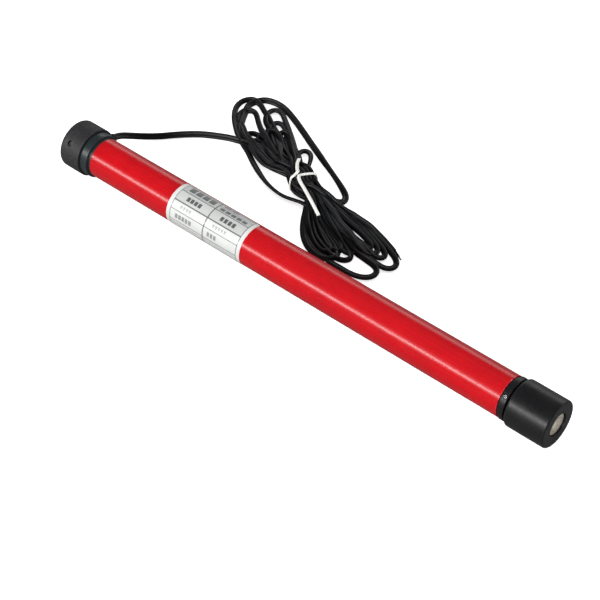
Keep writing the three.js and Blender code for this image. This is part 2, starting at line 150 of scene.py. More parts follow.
def shade(piece):
    piece.data.shade_smooth()
    piece.data.set_sharp_from_angle(angle=SHARP_EDGE)


def rounded(corners, steps=5):
    """A profile given as (along, radius, fillet), with every filleted corner as an arc."""
    out = []
    for i, (along, radius, fillet) in enumerate(corners):
        here = Vector((along, radius))
        if fillet == 0 or i in (0, len(corners) - 1):
            out.append(here)
            continue
        back = (Vector(corners[i - 1][:2]) - here).normalized()
        onward = (Vector(corners[i + 1][:2]) - here).normalized()
        half = back.angle(onward) / 2
        centre = here + (back + onward).normalized() * (fillet / math.sin(half))
        start = here + back * (fillet / math.tan(half)) - centre
        end = here + onward * (fillet / math.tan(half)) - centre
        first = math.atan2(start.y, start.x)
        turn = (math.atan2(end.y, end.x) - first + math.pi) % math.tau - math.pi
        for k in range(steps + 1):
            angle = first + turn * k / steps
            out.append(centre + fillet * Vector((math.cos(angle), math.sin(angle))))
    return out


def radial(station, angle):
    """Places for a piece that stands out of the motor: its own axis points away from the tube's."""
    c, s = math.cos(math.radians(angle)), math.sin(math.radians(angle))
    return lambda along, y, z: point(station + y, along * c - z * s, along * s + z * c)


RING_STEP = 0.6  # mm from an edge to the extra ring that keeps its wear beside it


def with_rings(profile):
    """The profile with an extra ring beside each end of its long stretches."""
    out = [profile[0]]
    for a, b in zip(profile, profile[1:]):
        length = (b - a).length
        if length > 3 * RING_STEP:
            out += [a.lerp(b, RING_STEP / length), b.lerp(a, RING_STEP / length)]
        out.append(b)
    return out


def turned(name, corners, segments=96, place=point, closed=False):
    """A body of revolution from (along, radius, fillet) corners. place says where its axis is."""
    profile = with_rings(rounded(corners + corners[:1] if closed else corners))
    if closed:
        profile = profile[:-1]
    points, rings = [], []
    for along, radius in profile:
        count = 1 if radius < 1e-6 else segments
        rings.append(list(range(len(points), len(points) + count)))
        for k in range(count):
            angle = math.tau * k / segments
            points.append(place(along, radius * math.cos(angle), radius * math.sin(angle)))
    faces = []
    for a, b in zip(rings, rings[1:] + (rings[:1] if closed else [])):
        for k in range(segments):
            corner = [a[k % len(a)], a[(k + 1) % len(a)], b[(k + 1) % len(b)], b[k % len(b)]]
            face = list(dict.fromkeys(corner))
            if len(face) > 2:
                faces.append(face)
    return mesh_piece(name, points, faces)


def sweep(name, path, section, wide):
    """A section of (across, thick) points in mm along a path in metres. wide is the direction, at
    each point of the path, that the section's first coordinate leans to."""
    path = np.asarray(path, float)
    along = np.gradient(path, axis=0)
    along /= np.linalg.norm(along, axis=1)[:, None]
    side = wide - (wide * along).sum(1)[:, None] * along
    side /= np.linalg.norm(side, axis=1)[:, None]
    thick = np.cross(along, side)
    section = np.asarray(section, float) * MM
    rings = (path[:, None] + section[None, :, :1] * side[:, None]
             + section[None, :, 1:] * thick[:, None])
    count = len(section)
    faces = [list(range(count)), list(range((len(path) - 1) * count, len(path) * count))]
    for i in range(len(path) - 1):
        for k in range(count):
            a, b = i * count + k, i * count + (k + 1) % count
            faces.append([a, b, b + count, a + count])
    return mesh_piece(name, rings.reshape(-1, 3), faces)


def smooth_path(points, step):
    """A Catmull-Rom curve through the points, sampled about every step metres."""
    points = np.asarray([tuple(p) for p in points], float)
    padded = np.vstack([2 * points[0] - points[1], points, 2 * points[-1] - points[-2]])
    out = []
    for i in range(1, len(padded) - 2):
        p0, p1, p2, p3 = padded[i - 1:i + 3]
        count = max(2, int(np.linalg.norm(p2 - p1) / step))
        t = np.arange(count)[:, None] / count
        out.append(0.5 * (2 * p1 + (p2 - p0) * t + (2 * p0 - 5 * p1 + 4 * p2 - p3) * t ** 2
                          + (3 * p1 - p0 - 3 * p2 + p3) * t ** 3))
    out.append(points[-1:])
    return evenly(np.vstack(out), step)


def evenly(path, step):
    """The same path with its points a steady step apart."""
    lengths = np.r_[0, np.cumsum(np.linalg.norm(np.diff(path, axis=0), axis=1))]
    marks = np.linspace(0, lengths[-1], max(2, int(round(lengths[-1] / step)) + 1))
    return np.column_stack([np.interp(marks, lengths, path[:, k]) for k in range(3)])


def path_length(path):
    return float(np.linalg.norm(np.diff(path, axis=0), axis=1).sum())


print("helpers ready")

# %% [markdown]
# The flex is a flat twin cord, 4.2 mm wide and 2.2 mm thick: two round cores side by side in one
# sheath. It leaves the head through a rubber grommet, comes down to the table, and goes to a
# hank that a wire tie holds at its waist. A drawn tube with a bundled texture would look wrong
# from close up, so the whole length is one route. Each turn of the hank is a short list of
# points on the table, and a loop strings the turns together: through the tie, round a turn at
# one end, back through the tie, and round a turn at the other end.

# %% The flex's route
FLEX_WIDTH = 4.2
FLEX_THICKNESS = 2.2
OUTLET = (-13.2, 21.1, 11.5)  # station, across, height above the table

# the lead from the grommet down to the table: station, across, height above the table
LEAD = [OUTLET, (-13.2, 25.5, 10.2), (-11, 33, 6.6), (-5, 42.5, 3.4), (5, 55, 1.6),
        (16, 65.5, 2.3), (25.5, 71.3, 2.3), (35, 76, 2.3), (48, 79.5, 2.4), (60, 79, 2.4),
        (72, 75, 2.5)]
LEAD_HELD = 5  # of its points, from the head down to the table, that stay where they are

# turns at the end far from the drive, and at the end near it: station, across
UPPER_TURNS = {
    "knob": [(71, 70), (52, 75.5), (41, 80), (37, 86), (43, 90), (67, 83)],
    "high": [(68, 84), (50, 95), (38, 104), (33, 112), (38, 117), (48, 110.5), (65, 98), (82, 85)],
    "inner": [(68, 81), (51, 92), (43, 101), (44, 107.5), (51, 106), (65, 94.5), (80, 83)],
    "long": [(72, 71), (52, 77), (40, 81.5), (29, 90), (21.5, 99), (21.5, 105.5), (28, 105),
             (36, 98.5), (47, 91), (67, 80.5)],
    "small": [(84, 80), (77, 88), (73.5, 94), (76.5, 98.5), (82.5, 95.5), (87, 88), (92, 80)],
    "low_fill": [(72, 69), (58, 73), (46, 78.5), (44.5, 83.5), (50, 85), (60, 81), (75, 75)],
    "middle_fill": [(73, 72), (57, 79), (46, 85), (44, 90), (50, 91.5), (61, 86), (76, 78)],
    "inner_fill": [(75, 74), (60, 82), (50, 90), (47, 96), (53, 97.5), (63, 90), (78, 80)],
    "top_fill": [(77, 76), (63, 87), (54, 96), (52.5, 102), (58, 101.5), (67, 93), (81, 82)],
}
LOWER_TURNS = {
    "right": [(115, 70), (130, 67), (147, 67.5), (165, 62.5), (179, 56.5), (186, 50), (182, 45),
              (170, 46), (157, 48.5), (142, 54), (118, 64)],
    "right_inner": [(114, 68), (130, 64.5), (147, 64.5), (163, 59.5), (173, 55.5), (177, 51.5),
                    (172, 48.5), (158, 51), (142, 56), (118, 65)],
    "right_short": [(113, 66), (129, 62), (145, 61.5), (158, 58.5), (166, 54), (163, 49),
                    (152, 50.5), (138, 55), (117, 64)],
    "left": [(112, 59), (121, 46.5), (132, 36), (146, 30.5), (160, 29), (172, 29.5), (180, 34.5),
             (179, 42), (170, 43.5), (157, 46.5), (140, 53.5), (117, 63)],
    "left_inner": [(112, 61), (121, 50), (132, 40.5), (145, 35), (156, 33.5), (163, 37),
                   (160, 43), (149, 48.5), (134, 55.5), (116, 64)],
    "left_short": [(111, 58), (119, 45), (129, 34), (140, 28.5), (150, 29), (154.5, 35),
                   (150, 41), (138, 47.5), (124, 54), (107, 57)],
    "left_fill": [(111, 62), (121, 53), (132, 44.5), (144, 38), (153, 37.5), (154, 42.5),
                  (145, 46), (132, 53), (117, 62)],
    "middle_fill": [(113, 62), (125, 55), (137, 48.5), (148, 43), (157, 40), (161, 44),
                    (154, 48.5), (141, 54), (128, 59.5), (118, 63)],
    "low_fill": [(111, 59.5), (119.5, 48), (128, 39.5), (139, 33), (148, 33), (149.5, 38),
                 (141, 43), (129, 49.5), (114, 60)],
    "right_fill": [(114, 67), (129, 64), (146, 62.5), (160, 58.5), (170, 53.5), (170, 48.5),
                   (156, 49.5), (141, 54.5), (118, 64.5)],
}
# two loose loops don't pass through the tie: one goes round it on each side
LEFT_LOOP = [(95, 54.5), (81, 57), (66, 63.5), (53, 71), (43, 77.5), (33, 83), (22, 91.5),
             (14.5, 102), (14.5, 111), (21, 114.5), (32, 109.5), (44, 102), (62, 92), (80, 82)]
RIGHT_LOOP = [(72, 73), (52, 78.5), (39, 82), (28.5, 90.5), (22, 100.5), (19.5, 111),
              (24.5, 118.5), (36, 120.5), (52, 115), (76, 103.5), (99, 92.5), (118, 83),
              (126.5, 76.5), (125, 70), (117, 68.5), (108, 71)]
TAIL = [(113, 69), (131, 68), (149, 67), (161, 64.5), (170, 61.5), (175.5, 59)]

# the tie's place, and the directions along and across the bundle there
WAIST = np.array([95.5, 71.5])
WAIST_TURN = math.radians(-35)
BUNDLE_ALONG = np.array([math.cos(WAIST_TURN), math.sin(WAIST_TURN)])
BUNDLE_ACROSS = np.array([-math.sin(WAIST_TURN), math.cos(WAIST_TURN)])
STRAND_PITCH = 2.2
STEP = 2.4       # mm between the points of the smoothed route
FINE_STEP = 1.3  # and of the finished one
LAYER_HEIGHTS = [2.2, 5.4, 8.6]  # of the three layers of strands at the tie
TABLE_HEIGHT = 2.1  # of a strand that lies on the table
PINCH_REACH = 32    # mm from the tie over which strands rise to their layer
PASS_HALF = 6       # mm of straight flex on each side of the tie


def pass_tie(column, layer, downwards):
    """Three points straight through the tie, in one of its columns and layers. The middle layer
    lies in the gaps of the others, half a strand to the side."""
    middle = WAIST + BUNDLE_ACROSS * STRAND_PITCH * (column + 0.5 * (layer == 1))
    ends = (-PASS_HALF, 0, PASS_HALF) if downwards else (PASS_HALF, 0, -PASS_HALF)
    return [(*(middle + BUNDLE_ALONG * e), LAYER_HEIGHTS[layer]) for e in ends]


def on_table(points, height):
    """Points on the table, highest where they come near the tie."""
    out = []
    for station, across in points:
        near = math.exp(-(math.dist((station, across), WAIST) / PINCH_REACH) ** 2)
        out.append((station, across, TABLE_HEIGHT + (height - TABLE_HEIGHT) * near))
    return out


def placed(route_points):
    """Route points (station, across, height above the table) as places in the frame."""
    return [point(s, y, z - AXIS_HEIGHT) for s, y, z in route_points]


# the order of the route: passes through the tie (column, layer, towards the drive end or not)
# and what the flex does after each one
ROUTE = [
    ((0, 0, True), LOWER_TURNS["right"]),
    ((-2, 0, False), UPPER_TURNS["knob"]),
    ((-3, 0, True), LOWER_TURNS["left"][::-1]),
    ((1, 0, False), UPPER_TURNS["high"][::-1]),
    ((2, 0, True), LOWER_TURNS["right_inner"]),
    ((2, 1, False), UPPER_TURNS["inner"][::-1]),
    ((-1, 0, True), LOWER_TURNS["middle_fill"][::-1]),
    ((-2, 1, False), UPPER_TURNS["low_fill"]),
    ((0, 1, True), LOWER_TURNS["left_short"] + LEFT_LOOP),
    ((1, 1, True), LOWER_TURNS["right_short"]),
    ((-1, 1, False), UPPER_TURNS["middle_fill"]),
    ((-3, 1, True), LOWER_TURNS["low_fill"]),
    ((3, 1, False), RIGHT_LOOP),
    ((3, 0, False), UPPER_TURNS["small"][::-1]),
    ((2, 2, True), LOWER_TURNS["left_inner"]),
    ((0, 2, False), UPPER_TURNS["inner_fill"]),
    ((-2, 2, True), LOWER_TURNS["right_fill"]),
    ((1, 2, False), UPPER_TURNS["top_fill"]),
    ((-1, 2, True), LOWER_TURNS["left_fill"]),
    ((-3, 2, False), UPPER_TURNS["long"]),
    ((3, 2, True), TAIL),
]
route = list(LEAD)
for (column, layer, downwards), turn in ROUTE:
    route += pass_tie(column, layer, downwards)
    route += on_table(turn, LAYER_HEIGHTS[layer])
flex_path = smooth_path(placed(route), STEP * MM)
print(f"route: {len(route)} points, {path_length(flex_path):.2f} m")

# %% [markdown]
# Where strands cross, one has to lie on the other. Placing every crossing by hand would take
# hundreds of heights, so the strands are pushed apart instead: any two places that are closer
# than the flex is thick move away from each other, mostly up and down, and everything sinks
# back towards the table. The moves are smoothed along the flex, because it is springy.

# %% Lay the strands over each other
# lengths in mm
EDGE_HEIGHT = FLEX_WIDTH / 2 + 0.15  # lowest place for its middle, as it may stand on its edge
TIGHTEST = 7.5       # radius that the flex resists bending below
CROSSING_RISE = 3.1  # how far apart two crossing strands lie
LONGEST_PUSH = 0.5   # in one round
SINK = 0.03          # back towards the table in each round
SMALL_LEAN = 0.02    # chance shift that keeps strands from lying exactly in line
# counts and shares
NEAR_ALONG = 5       # neighbours along the flex that may be close
PUSH_ROUNDS = 60
PUSH_SHARE = 0.25    # of an overlap, taken away in one round
SIDEWAYS_SHARE = 0.6  # strands would rather climb than slide sideways
EASE_ROUNDS, EASE_SHARE = 4, 0.6  # bends that are too tight, opened in each round


def smooth_out(values):
    """Moves every value but the two ends halfway to its neighbours' middle, in place."""
    values[1:-1] = (values[:-2] + 2 * values[1:-1] + values[2:]) / 4


def settle(path):
    """The path with its crossings pushed apart and the rest lying low."""
    place = path / MM
    fixed = len(smooth_path(placed(LEAD[:LEAD_HELD]), STEP * MM))
    allowed = STEP ** 2 / (2 * TIGHTEST)
    order = np.arange(len(place))
    far = np.abs(order[:, None] - order[None, :]) > NEAR_ALONG
    stretch = np.array([1, 1, STRAND_PITCH / CROSSING_RISE])
    place = place + np.random.default_rng(7).normal(0, SMALL_LEAN, place.shape)
    for _ in range(PUSH_ROUNDS):
        scaled = place * stretch
        gap = scaled[:, None] - scaled[None, :]
        distance = np.sqrt((gap ** 2).sum(2)) + 1e-6
        short = np.where(far, np.clip(STRAND_PITCH - distance, 0, None), 0)
        push = (gap / distance[..., None] * short[..., None]).sum(1) * PUSH_SHARE / stretch
        push = np.clip(push, -LONGEST_PUSH, LONGEST_PUSH)
        push[:, :2] *= SIDEWAYS_SHARE
        push[:, 2] -= SINK
        push[:fixed] = 0
        for _ in range(3):
            smooth_out(push)
        place = place + push
        for _ in range(EASE_ROUNDS):
            bow = (place[:-2] + place[2:]) / 2 - place[1:-1]
            size = np.linalg.norm(bow, axis=1)[:, None] + 1e-6
            opening = bow / size * np.clip(size - allowed, 0, None) * EASE_SHARE
            opening[:fixed] = 0
            place[1:-1] += opening
        place[:, 2] = np.maximum(place[:, 2], EDGE_HEIGHT)
    return place * MM


flex_path = settle(flex_path)
for _ in range(3):
    smooth_out(flex_path)
flex_path[0] = point(OUTLET[0], OUTLET[1], OUTLET[2] - AXIS_HEIGHT)
flex_path = smooth_path(flex_path, FINE_STEP * MM)

# %% [markdown]
# The section is two round lobes with a shallow groove between them. A flat flex rolls over as
# it bends, so how much of its wide side it shows changes along the way: all of it between the
# head and the hank, much of it on the long outer loop, and little where the tie pinches it.

# %% The flex itself
LOBE_RADIUS = FLEX_THICKNESS / 2
LOBE_OFFSET = FLEX_WIDTH / 2 - LOBE_RADIUS
GROOVE_HALF = 0.78  # half the thickness in the groove
LOBE_ANGLES = [math.radians(a) for a in range(-112, 113, 28)]
right_lobe = [(LOBE_OFFSET + LOBE_RADIUS * math.cos(a), LOBE_RADIUS * math.sin(a))
              for a in LOBE_ANGLES]
left_lobe = [(-x, -y) for x, y in right_lobe]
flex_section = right_lobe + [(0, GROOVE_HALF)] + left_lobe + [(0, -GROOVE_HALF)]

along = np.gradient(flex_path, axis=0)
along /= np.linalg.norm(along, axis=1)[:, None]
leaning = np.array(towards_camera)
open_side = np.cross(leaning, along)
open_side /= np.linalg.norm(open_side, axis=1)[:, None]


def ease(value, low, high):
    """0 below low and 1 above high, with a smooth change between."""
    share = np.clip((value - low) / (high - low), 0, 1)
    return share * share * (3 - 2 * share)


run = np.r_[0, np.cumsum(np.linalg.norm(np.diff(flex_path, axis=0), axis=1))] / MM
from_waist = np.linalg.norm(flex_path[:, :2] - np.array(point(*WAIST))[:2], axis=1) / MM
outer_loop = smooth_path([point(s, y) for s, y in RIGHT_LOOP], STEP * MM)
from_loop = np.linalg.norm(flex_path[:, None, :2] - outer_loop[None, :, :2], axis=2).min(1) / MM
LEAD_TURN, LOOP_TURN, HANK_TURN = 90, 70, 34  # degrees that the flex shows of its wide side
clear_of_tie = ease(from_waist, 14, 34)  # mm from the tie
on_loop = 1 - ease(from_loop, 1, 5)      # mm from the outer loop's line
on_lead = 1 - ease(run, 95, 135)         # mm along the flex from the head
shown = HANK_TURN * clear_of_tie
shown += (LOOP_TURN - shown) * on_loop * clear_of_tie
shown += (LEAD_TURN - shown) * on_lead
shown = np.radians(shown)[:, None]
flex = sweep("flex", flex_path, flex_section,
             leaning * np.cos(shown) + open_side * np.sin(shown))
print("flex has", len(flex.data.polygons), "faces")

# %% [markdown]
# The flex ends bare: the sheath is cut back and the two cores stick out, each in its own
# insulation with a few millimetres of copper showing.

# %% The two bare cores
CORE_RADIUS = 0.75
COPPER_RADIUS = 0.45
CORE_LENGTH = 4       # mm of insulated core past the sheath
COPPER_LENGTH = 2.5   # mm of copper past the insulation
CORE_SPREAD = 0.006   # how fast the cores part
CORE_DROP = 0.2       # how fast they sink to the table, and how far at most
DEEPEST_DROP = 1.4
circle = [(math.cos(math.tau * k / 16), math.sin(math.tau * k / 16)) for k in range(16)]


def round_section(radius):
    return [(radius * x, radius * y) for x, y in circle]


flex_end = flex_path[-1]
end_along = flex_path[-1] - flex_path[-3]
end_along /= np.linalg.norm(end_along)
end_side = np.cross((0, 0, 1), end_along)
cores, coppers = [], []
for index, side in enumerate((-1, 1), start=1):
    def core_place(reach):
        sideways = side * (CORE_RADIUS + CORE_SPREAD * reach ** 2) * MM
        drop = np.array((0, 0, -min(reach * CORE_DROP, DEEPEST_DROP) * MM))
        return flex_end + end_along * reach * MM + end_side * sideways + drop

    insulated = np.array([core_place(r) for r in np.linspace(-2, CORE_LENGTH, 10)])
    copper_reach = np.linspace(CORE_LENGTH - 1, CORE_LENGTH + COPPER_LENGTH, 8)
    bared = np.array([core_place(r) for r in copper_reach])
    up = np.tile((0.0, 0.0, 1.0), (len(insulated), 1))
    cores.append(sweep(f"core_{index}", insulated, round_section(CORE_RADIUS), up))
    coppers.append(sweep(f"core_copper_{index}", bared, round_section(COPPER_RADIUS), up[:8]))
print("cores:", [c.name for c in cores + coppers])

# %% [markdown]
# The tie is a plastic strip with a wire in its middle. It is one length: a long tail, the ring
# round the bundle, and a short tail, with the two ends crossed over each other on top.

# %% The wire tie
STRIP_HALF, STRIP_EDGE, STRIP_RIB = 1.05, 0.16, 0.4
strip_top = [(-STRIP_HALF, 0), (-0.95, STRIP_EDGE), (-0.45, STRIP_EDGE), (-0.22, STRIP_RIB),
             (0.22, STRIP_RIB), (0.45, STRIP_EDGE), (0.95, STRIP_EDGE)]
strip_section = strip_top + [(-x, -y) for x, y in strip_top]
KNOT = -3.5  # across the bundle, from its middle
RING = 3     # along the bundle, from its narrowest place
STRIP_TILT = 0.05
# along the bundle, across it, height above the table, and how far the strip lies across the
# bundle (0) or along it (1)
TIE_ROUTE = [(RING + 36, 0, 9.6, 0), (RING + 27, -1.2, 11.2, 0), (RING + 15, -2.6, 12, 0),
             (RING + 6, KNOT - 0.2, 12.3, 0), (RING + 1.5, KNOT + 0.4, 12.4, 0.5),
             (RING, 0, 11.7, 1), (RING, 5, 11.3, 1), (RING, 7.8, 10.2, 1), (RING, 8.5, 6, 1),
             (RING, 8, 1.6, 1), (RING, 6, 0.7, 1), (RING, -6, 0.7, 1), (RING, -8, 1.6, 1),
             (RING, -8.5, 6, 1), (RING, -7.6, 10.4, 1), (RING - 0.5, -5.6, 11.7, 1),
             (RING - 2, KNOT + 0.5, 12.8, 0.4), (RING - 5, KNOT + 1, 12.2, 0),
             (RING - 11, KNOT + 2.5, 11.4, 0), (RING - 16, KNOT + 5, 10.8, 0)]
tie_keys, tie_wide = [], []
for ahead, across, height, turned_along in TIE_ROUTE:
    place_on_table = WAIST + BUNDLE_ALONG * ahead + BUNDLE_ACROSS * across
    tie_keys.append(point(*place_on_table, height - AXIS_HEIGHT))
    lying = BUNDLE_ALONG * turned_along + BUNDLE_ACROSS * (1 - turned_along)
    tie_wide.append([*lying, STRIP_TILT])
tie_path = smooth_path(tie_keys, 0.5 * MM)
key_numbers = [int(np.linalg.norm(tie_path - np.array(k), axis=1).argmin()) for k in tie_keys]
key_numbers = np.maximum.accumulate(key_numbers)
tie_lean = np.column_stack([
    np.interp(np.arange(len(tie_path)), key_numbers, np.array(tie_wide)[:, k]) for k in range(3)])
wire_tie = sweep("wire_tie", tie_path, strip_section, tie_lean)
print(f"tie: {path_length(tie_path) / MM:.0f} mm of strip")

# %% [markdown]
# The grommet is soft black rubber: a collar that sits on the head, then a tapered sleeve with
# ribs, so that the flex bends gently where it comes out. It is turned on a lathe like the other
# round pieces, but about an axis that points out of the head's side.

# %% The grommet
OUTLET_STATION, OUTLET_ANGLE = OUTLET[0], -10  # degrees round the tube, 0 at +Y, 90 at the top
# (out from the tube's axis, radius, fillet)
grommet = turned("cord_sleeve", [
    (10, 0, 0), (10, 2.3, 0.2), (15.5, 2.3, 0), (15.5, 3.4, 0.3), (16.7, 3.4, 0.3),
    (16.9, 2.8, 0.1), (17.5, 2.8, 0.1), (17.7, 3.1, 0.1), (18.2, 3.05, 0.1), (18.4, 2.6, 0.1),
    (19, 2.6, 0.1), (19.2, 2.9, 0.1), (20.9, 2.6, 0.3), (20.9, 0, 0),
], 48, radial(OUTLET_STATION, OUTLET_ANGLE))
print("grommet has", len(grommet.data.polygons), "faces")

# %% [markdown]
# The head is one moulding. Holes are cut with Booleans, which is quick and exact, and each
# cutter flares at its mouth, so that every hole gets its chamfer from the same cut. The side
# hole holds the setting button, and the cross in the end face takes the wall bracket.

# %% The head
HEAD_START = stations("head_cap")[0]
SPIGOT_END = stations("head_cap")[1]
HEAD_RADIUS = AXIS_HEIGHT
CROWN_START, CROWN_END = stations("crown_ring")
SPIGOT_RADIUS = 11.2
CROWN_GAP = 0.3
BUTTON_STATION, BUTTON_ANGLE = -16.6, 140
BUTTON_HOLE, BUTTON_HOLE_FLOOR = 1.7, 11  # radius, and distance from the tube's axis
OUTLET_HOLE, OUTLET_HOLE_FLOOR = 2.6, 4
RECESS_HALF, RECESS_REACH, RECESS_DEPTH = 2.5, 9, 5.5


def cut(piece, *cutters):
    """Cuts the cutters out of a piece, then deletes them."""
    for cutter in cutters:
        modifier = piece.modifiers.new("cut", "BOOLEAN")
        modifier.object = cutter
        modifier.solver = "EXACT"
    bpy.context.view_layer.update()
    shape = piece.evaluated_get(bpy.context.evaluated_depsgraph_get())
    mesh = bpy.data.meshes.new_from_object(shape)
    piece.modifiers.clear()
    piece.data = mesh
    for cutter in cutters:
        bpy.data.objects.remove(cutter)
    shade(piece)


def cross_cutter(half, reach, layers):
    """A cross-shaped prism along the tube; layers are (station, how much wider than half)."""
    points, faces = [], []
    for station, wider in layers:
        h, r = half + wider, reach + wider
        outline = [(h, r), (-h, r), (-h, h), (-r, h), (-r, -h), (-h, -h),
                   (-h, -r), (h, -r), (h, -h), (r, -h), (r, h), (h, h)]
        points += [point(station, y, z) for y, z in outline]
    faces.append(list(range(12)))
    faces.append(list(range(len(points) - 12, len(points))))
    for layer in range(len(layers) - 1):
        for k in range(12):
            a, b = layer * 12 + k, layer * 12 + (k + 1) % 12
            faces.append([a, b, b + 12, a + 12])
    return mesh_piece("cutter", points, faces)


def hole_cutter(radius, bottom, mouth, place, chamfer=0.35):
    """A hole that widens by the chamfer at its mouth."""
    return turned("cutter", [
        (bottom, 0, 0), (bottom, radius, 0), (mouth - chamfer, radius, 0),
        (mouth + 1, radius + chamfer + 1, 0), (mouth + 1, 0, 0),
    ], 40, place)


head = turned("head", [
    (HEAD_START, 0, 0), (HEAD_START, HEAD_RADIUS, 1.7), (CROWN_START - CROWN_GAP, HEAD_RADIUS, 0.5),
    (CROWN_START - CROWN_GAP, SPIGOT_RADIUS, 0.3), (SPIGOT_END, SPIGOT_RADIUS, 1),
    (SPIGOT_END, 0, 0),
], 128)
recess_layers = [(HEAD_START + RECESS_DEPTH, 0), (HEAD_START + 0.4, 0), (HEAD_START - 1, 1.4)]
to_button = radial(BUTTON_STATION, BUTTON_ANGLE)
to_outlet = radial(OUTLET_STATION, OUTLET_ANGLE)
cut(head,
    cross_cutter(RECESS_HALF, RECESS_REACH, recess_layers),
    hole_cutter(BUTTON_HOLE, BUTTON_HOLE_FLOOR, HEAD_RADIUS, to_button),
    hole_cutter(OUTLET_HOLE, OUTLET_HOLE_FLOOR, HEAD_RADIUS, to_outlet, 0.2))
setting_button = turned("button_cap", [
    (11.9, 0, 0), (11.9, 1.4, 0), (14.2, 1.4, 0.35), (14.2, 0.7, 0.1), (13.9, 0.55, 0.1),
    (13.9, 0, 0),
], 40, to_button)
print("head has", len(head.data.polygons), "faces")

# %% [markdown]
# The crown ring turns on the head's spigot with the roller. Its end steps down before the tube,
# and that step is what shows as a dark line between the head and the tube. The tube itself is a
# plain drawn tube with its cut edges broken.

# %% The crown ring and the tube
CROWN_RADIUS = 13.8
CROWN_BORE = 11.5
STEP_RADIUS = 12
WALL = 1
crown = turned("crown", [
    (CROWN_START, CROWN_BORE, 0.1), (CROWN_START, CROWN_RADIUS, 0.6),
    (CROWN_END - 1.7, CROWN_RADIUS, 0.45), (CROWN_END - 1.5, STEP_RADIUS, 0.15),
    (CROWN_END, STEP_RADIUS, 0.1), (CROWN_END, CROWN_BORE, 0.1),
], 128, closed=True)
tube = turned("tube", [
    (0, TUBE_RADIUS - WALL, 0.12), (0, TUBE_RADIUS, 0.25),
    (TUBE_END, TUBE_RADIUS, 0.25), (TUBE_END, TUBE_RADIUS - WALL, 0.12),
], 160, closed=True)
print("crown from", round(CROWN_START, 1), "to", round(CROWN_END, 1), "mm")

# %% [markdown]
# The rating label is a film that wraps nearly half of the way round the tube. It is a real sheet
# with a thickness, and its corners are rounded, because a printed label is die-cut.

# %% The label
LABEL_START, LABEL_END = stations("rating_label")
LABEL_FROM, LABEL_TO = 57, 222  # degrees round the tube, 0 at +Y and 90 at the top
LABEL_THICKNESS = 0.12
GLUE = 0.04
LABEL_CORNER = 2.2
LABEL_COLUMNS, LABEL_ROWS = 72, 60


def label_grid(radius):
    """A grid on the label's surface; its end columns draw in near the corners."""
    points = []
    for row in range(LABEL_ROWS + 1):
        angle = LABEL_FROM + (LABEL_TO - LABEL_FROM) * row / LABEL_ROWS
        edge = min(angle - LABEL_FROM, LABEL_TO - angle) * math.radians(radius)
        short = max(0.0, LABEL_CORNER - edge)
        draw_in = LABEL_CORNER - math.sqrt(max(0.0, LABEL_CORNER ** 2 - short ** 2))
        for column in range(LABEL_COLUMNS + 1):
            share = column / LABEL_COLUMNS
            station = LABEL_START + draw_in + (LABEL_END - LABEL_START - 2 * draw_in) * share
            a = math.radians(angle)
            points.append(point(station, radius * math.cos(a), radius * math.sin(a)))
    return points


outer = label_grid(TUBE_RADIUS + GLUE + LABEL_THICKNESS)
inner = label_grid(TUBE_RADIUS + GLUE)
width = LABEL_COLUMNS + 1
label_faces = []
for row in range(LABEL_ROWS):
    for column in range(LABEL_COLUMNS):
        a = row * width + column
        label_faces.append([a, a + 1, a + width + 1, a + width])
        label_faces.append([len(outer) + k for k in (a, a + width, a + width + 1, a + 1)])
rim = list(range(width))
rim += [row * width + width - 1 for row in range(1, LABEL_ROWS + 1)]
rim += [LABEL_ROWS * width + k for k in range(width - 2, -1, -1)]
rim += [row * width for row in range(LABEL_ROWS - 1, 0, -1)]
for a, b in zip(rim, rim[1:] + rim[:1]):
    label_faces.append([a, b, b + len(outer), a + len(outer)])
label = mesh_piece("label", outer + inner, label_faces)
print(f"label: {LABEL_END - LABEL_START:.0f} mm along, {LABEL_TO - LABEL_FROM} degrees round")

# %% [markdown]
# At the drive end a bearing housing closes the tube. Its collar has a small socket screw that
# holds it. The adaptor that drives the roller turns on the output shaft beyond it, and a washer
# and a cross-head screw in its counterbore keep it on.

# %% The drive end
HOUSING_START, COLLAR_END = stations("bearing_housing")
HOUSING_BORE = 5.6
COLLAR_RADIUS = 12.8
NECK_RADIUS = 12   # of the groove between the tube's end and the collar
COLLAR_START = TUBE_END + 0.3
ADAPTOR_BACK, ADAPTOR_END = stations("drive_adaptor")
ADAPTOR_START = ADAPTOR_BACK + 0.5
ADAPTOR_RADIUS = 14.1
HUB_RADIUS = 9.5
SHAFT_HOLE = 4.4
BORE_RADIUS, BORE_DEPTH = 7, 3.4
SCREW_STATION, SCREW_ANGLE = TUBE_END + 2.6, 134

housing = turned("housing", [
    (HOUSING_START, HOUSING_BORE, 0.3), (HOUSING_START, SPIGOT_RADIUS, 0.4),
    (COLLAR_START, SPIGOT_RADIUS, 0), (COLLAR_START, NECK_RADIUS, 0.1),
    (COLLAR_START + 0.8, NECK_RADIUS, 0.1), (COLLAR_START + 0.9, COLLAR_RADIUS, 0.2),
    (COLLAR_END, COLLAR_RADIUS, 0.5), (COLLAR_END, HOUSING_BORE, 0.3),
], 128, closed=True)
cut(housing, hole_cutter(1.4, 9, COLLAR_RADIUS, radial(SCREW_STATION, SCREW_ANGLE), 0.1))
collar_screw = turned("collar_screw", [
    (9.3, 0, 0), (9.3, 1.1, 0), (12.7, 1.1, 0.2), (12.7, 0.5, 0.05), (12, 0.45, 0), (11.9, 0, 0),
], 40, radial(SCREW_STATION, SCREW_ANGLE))

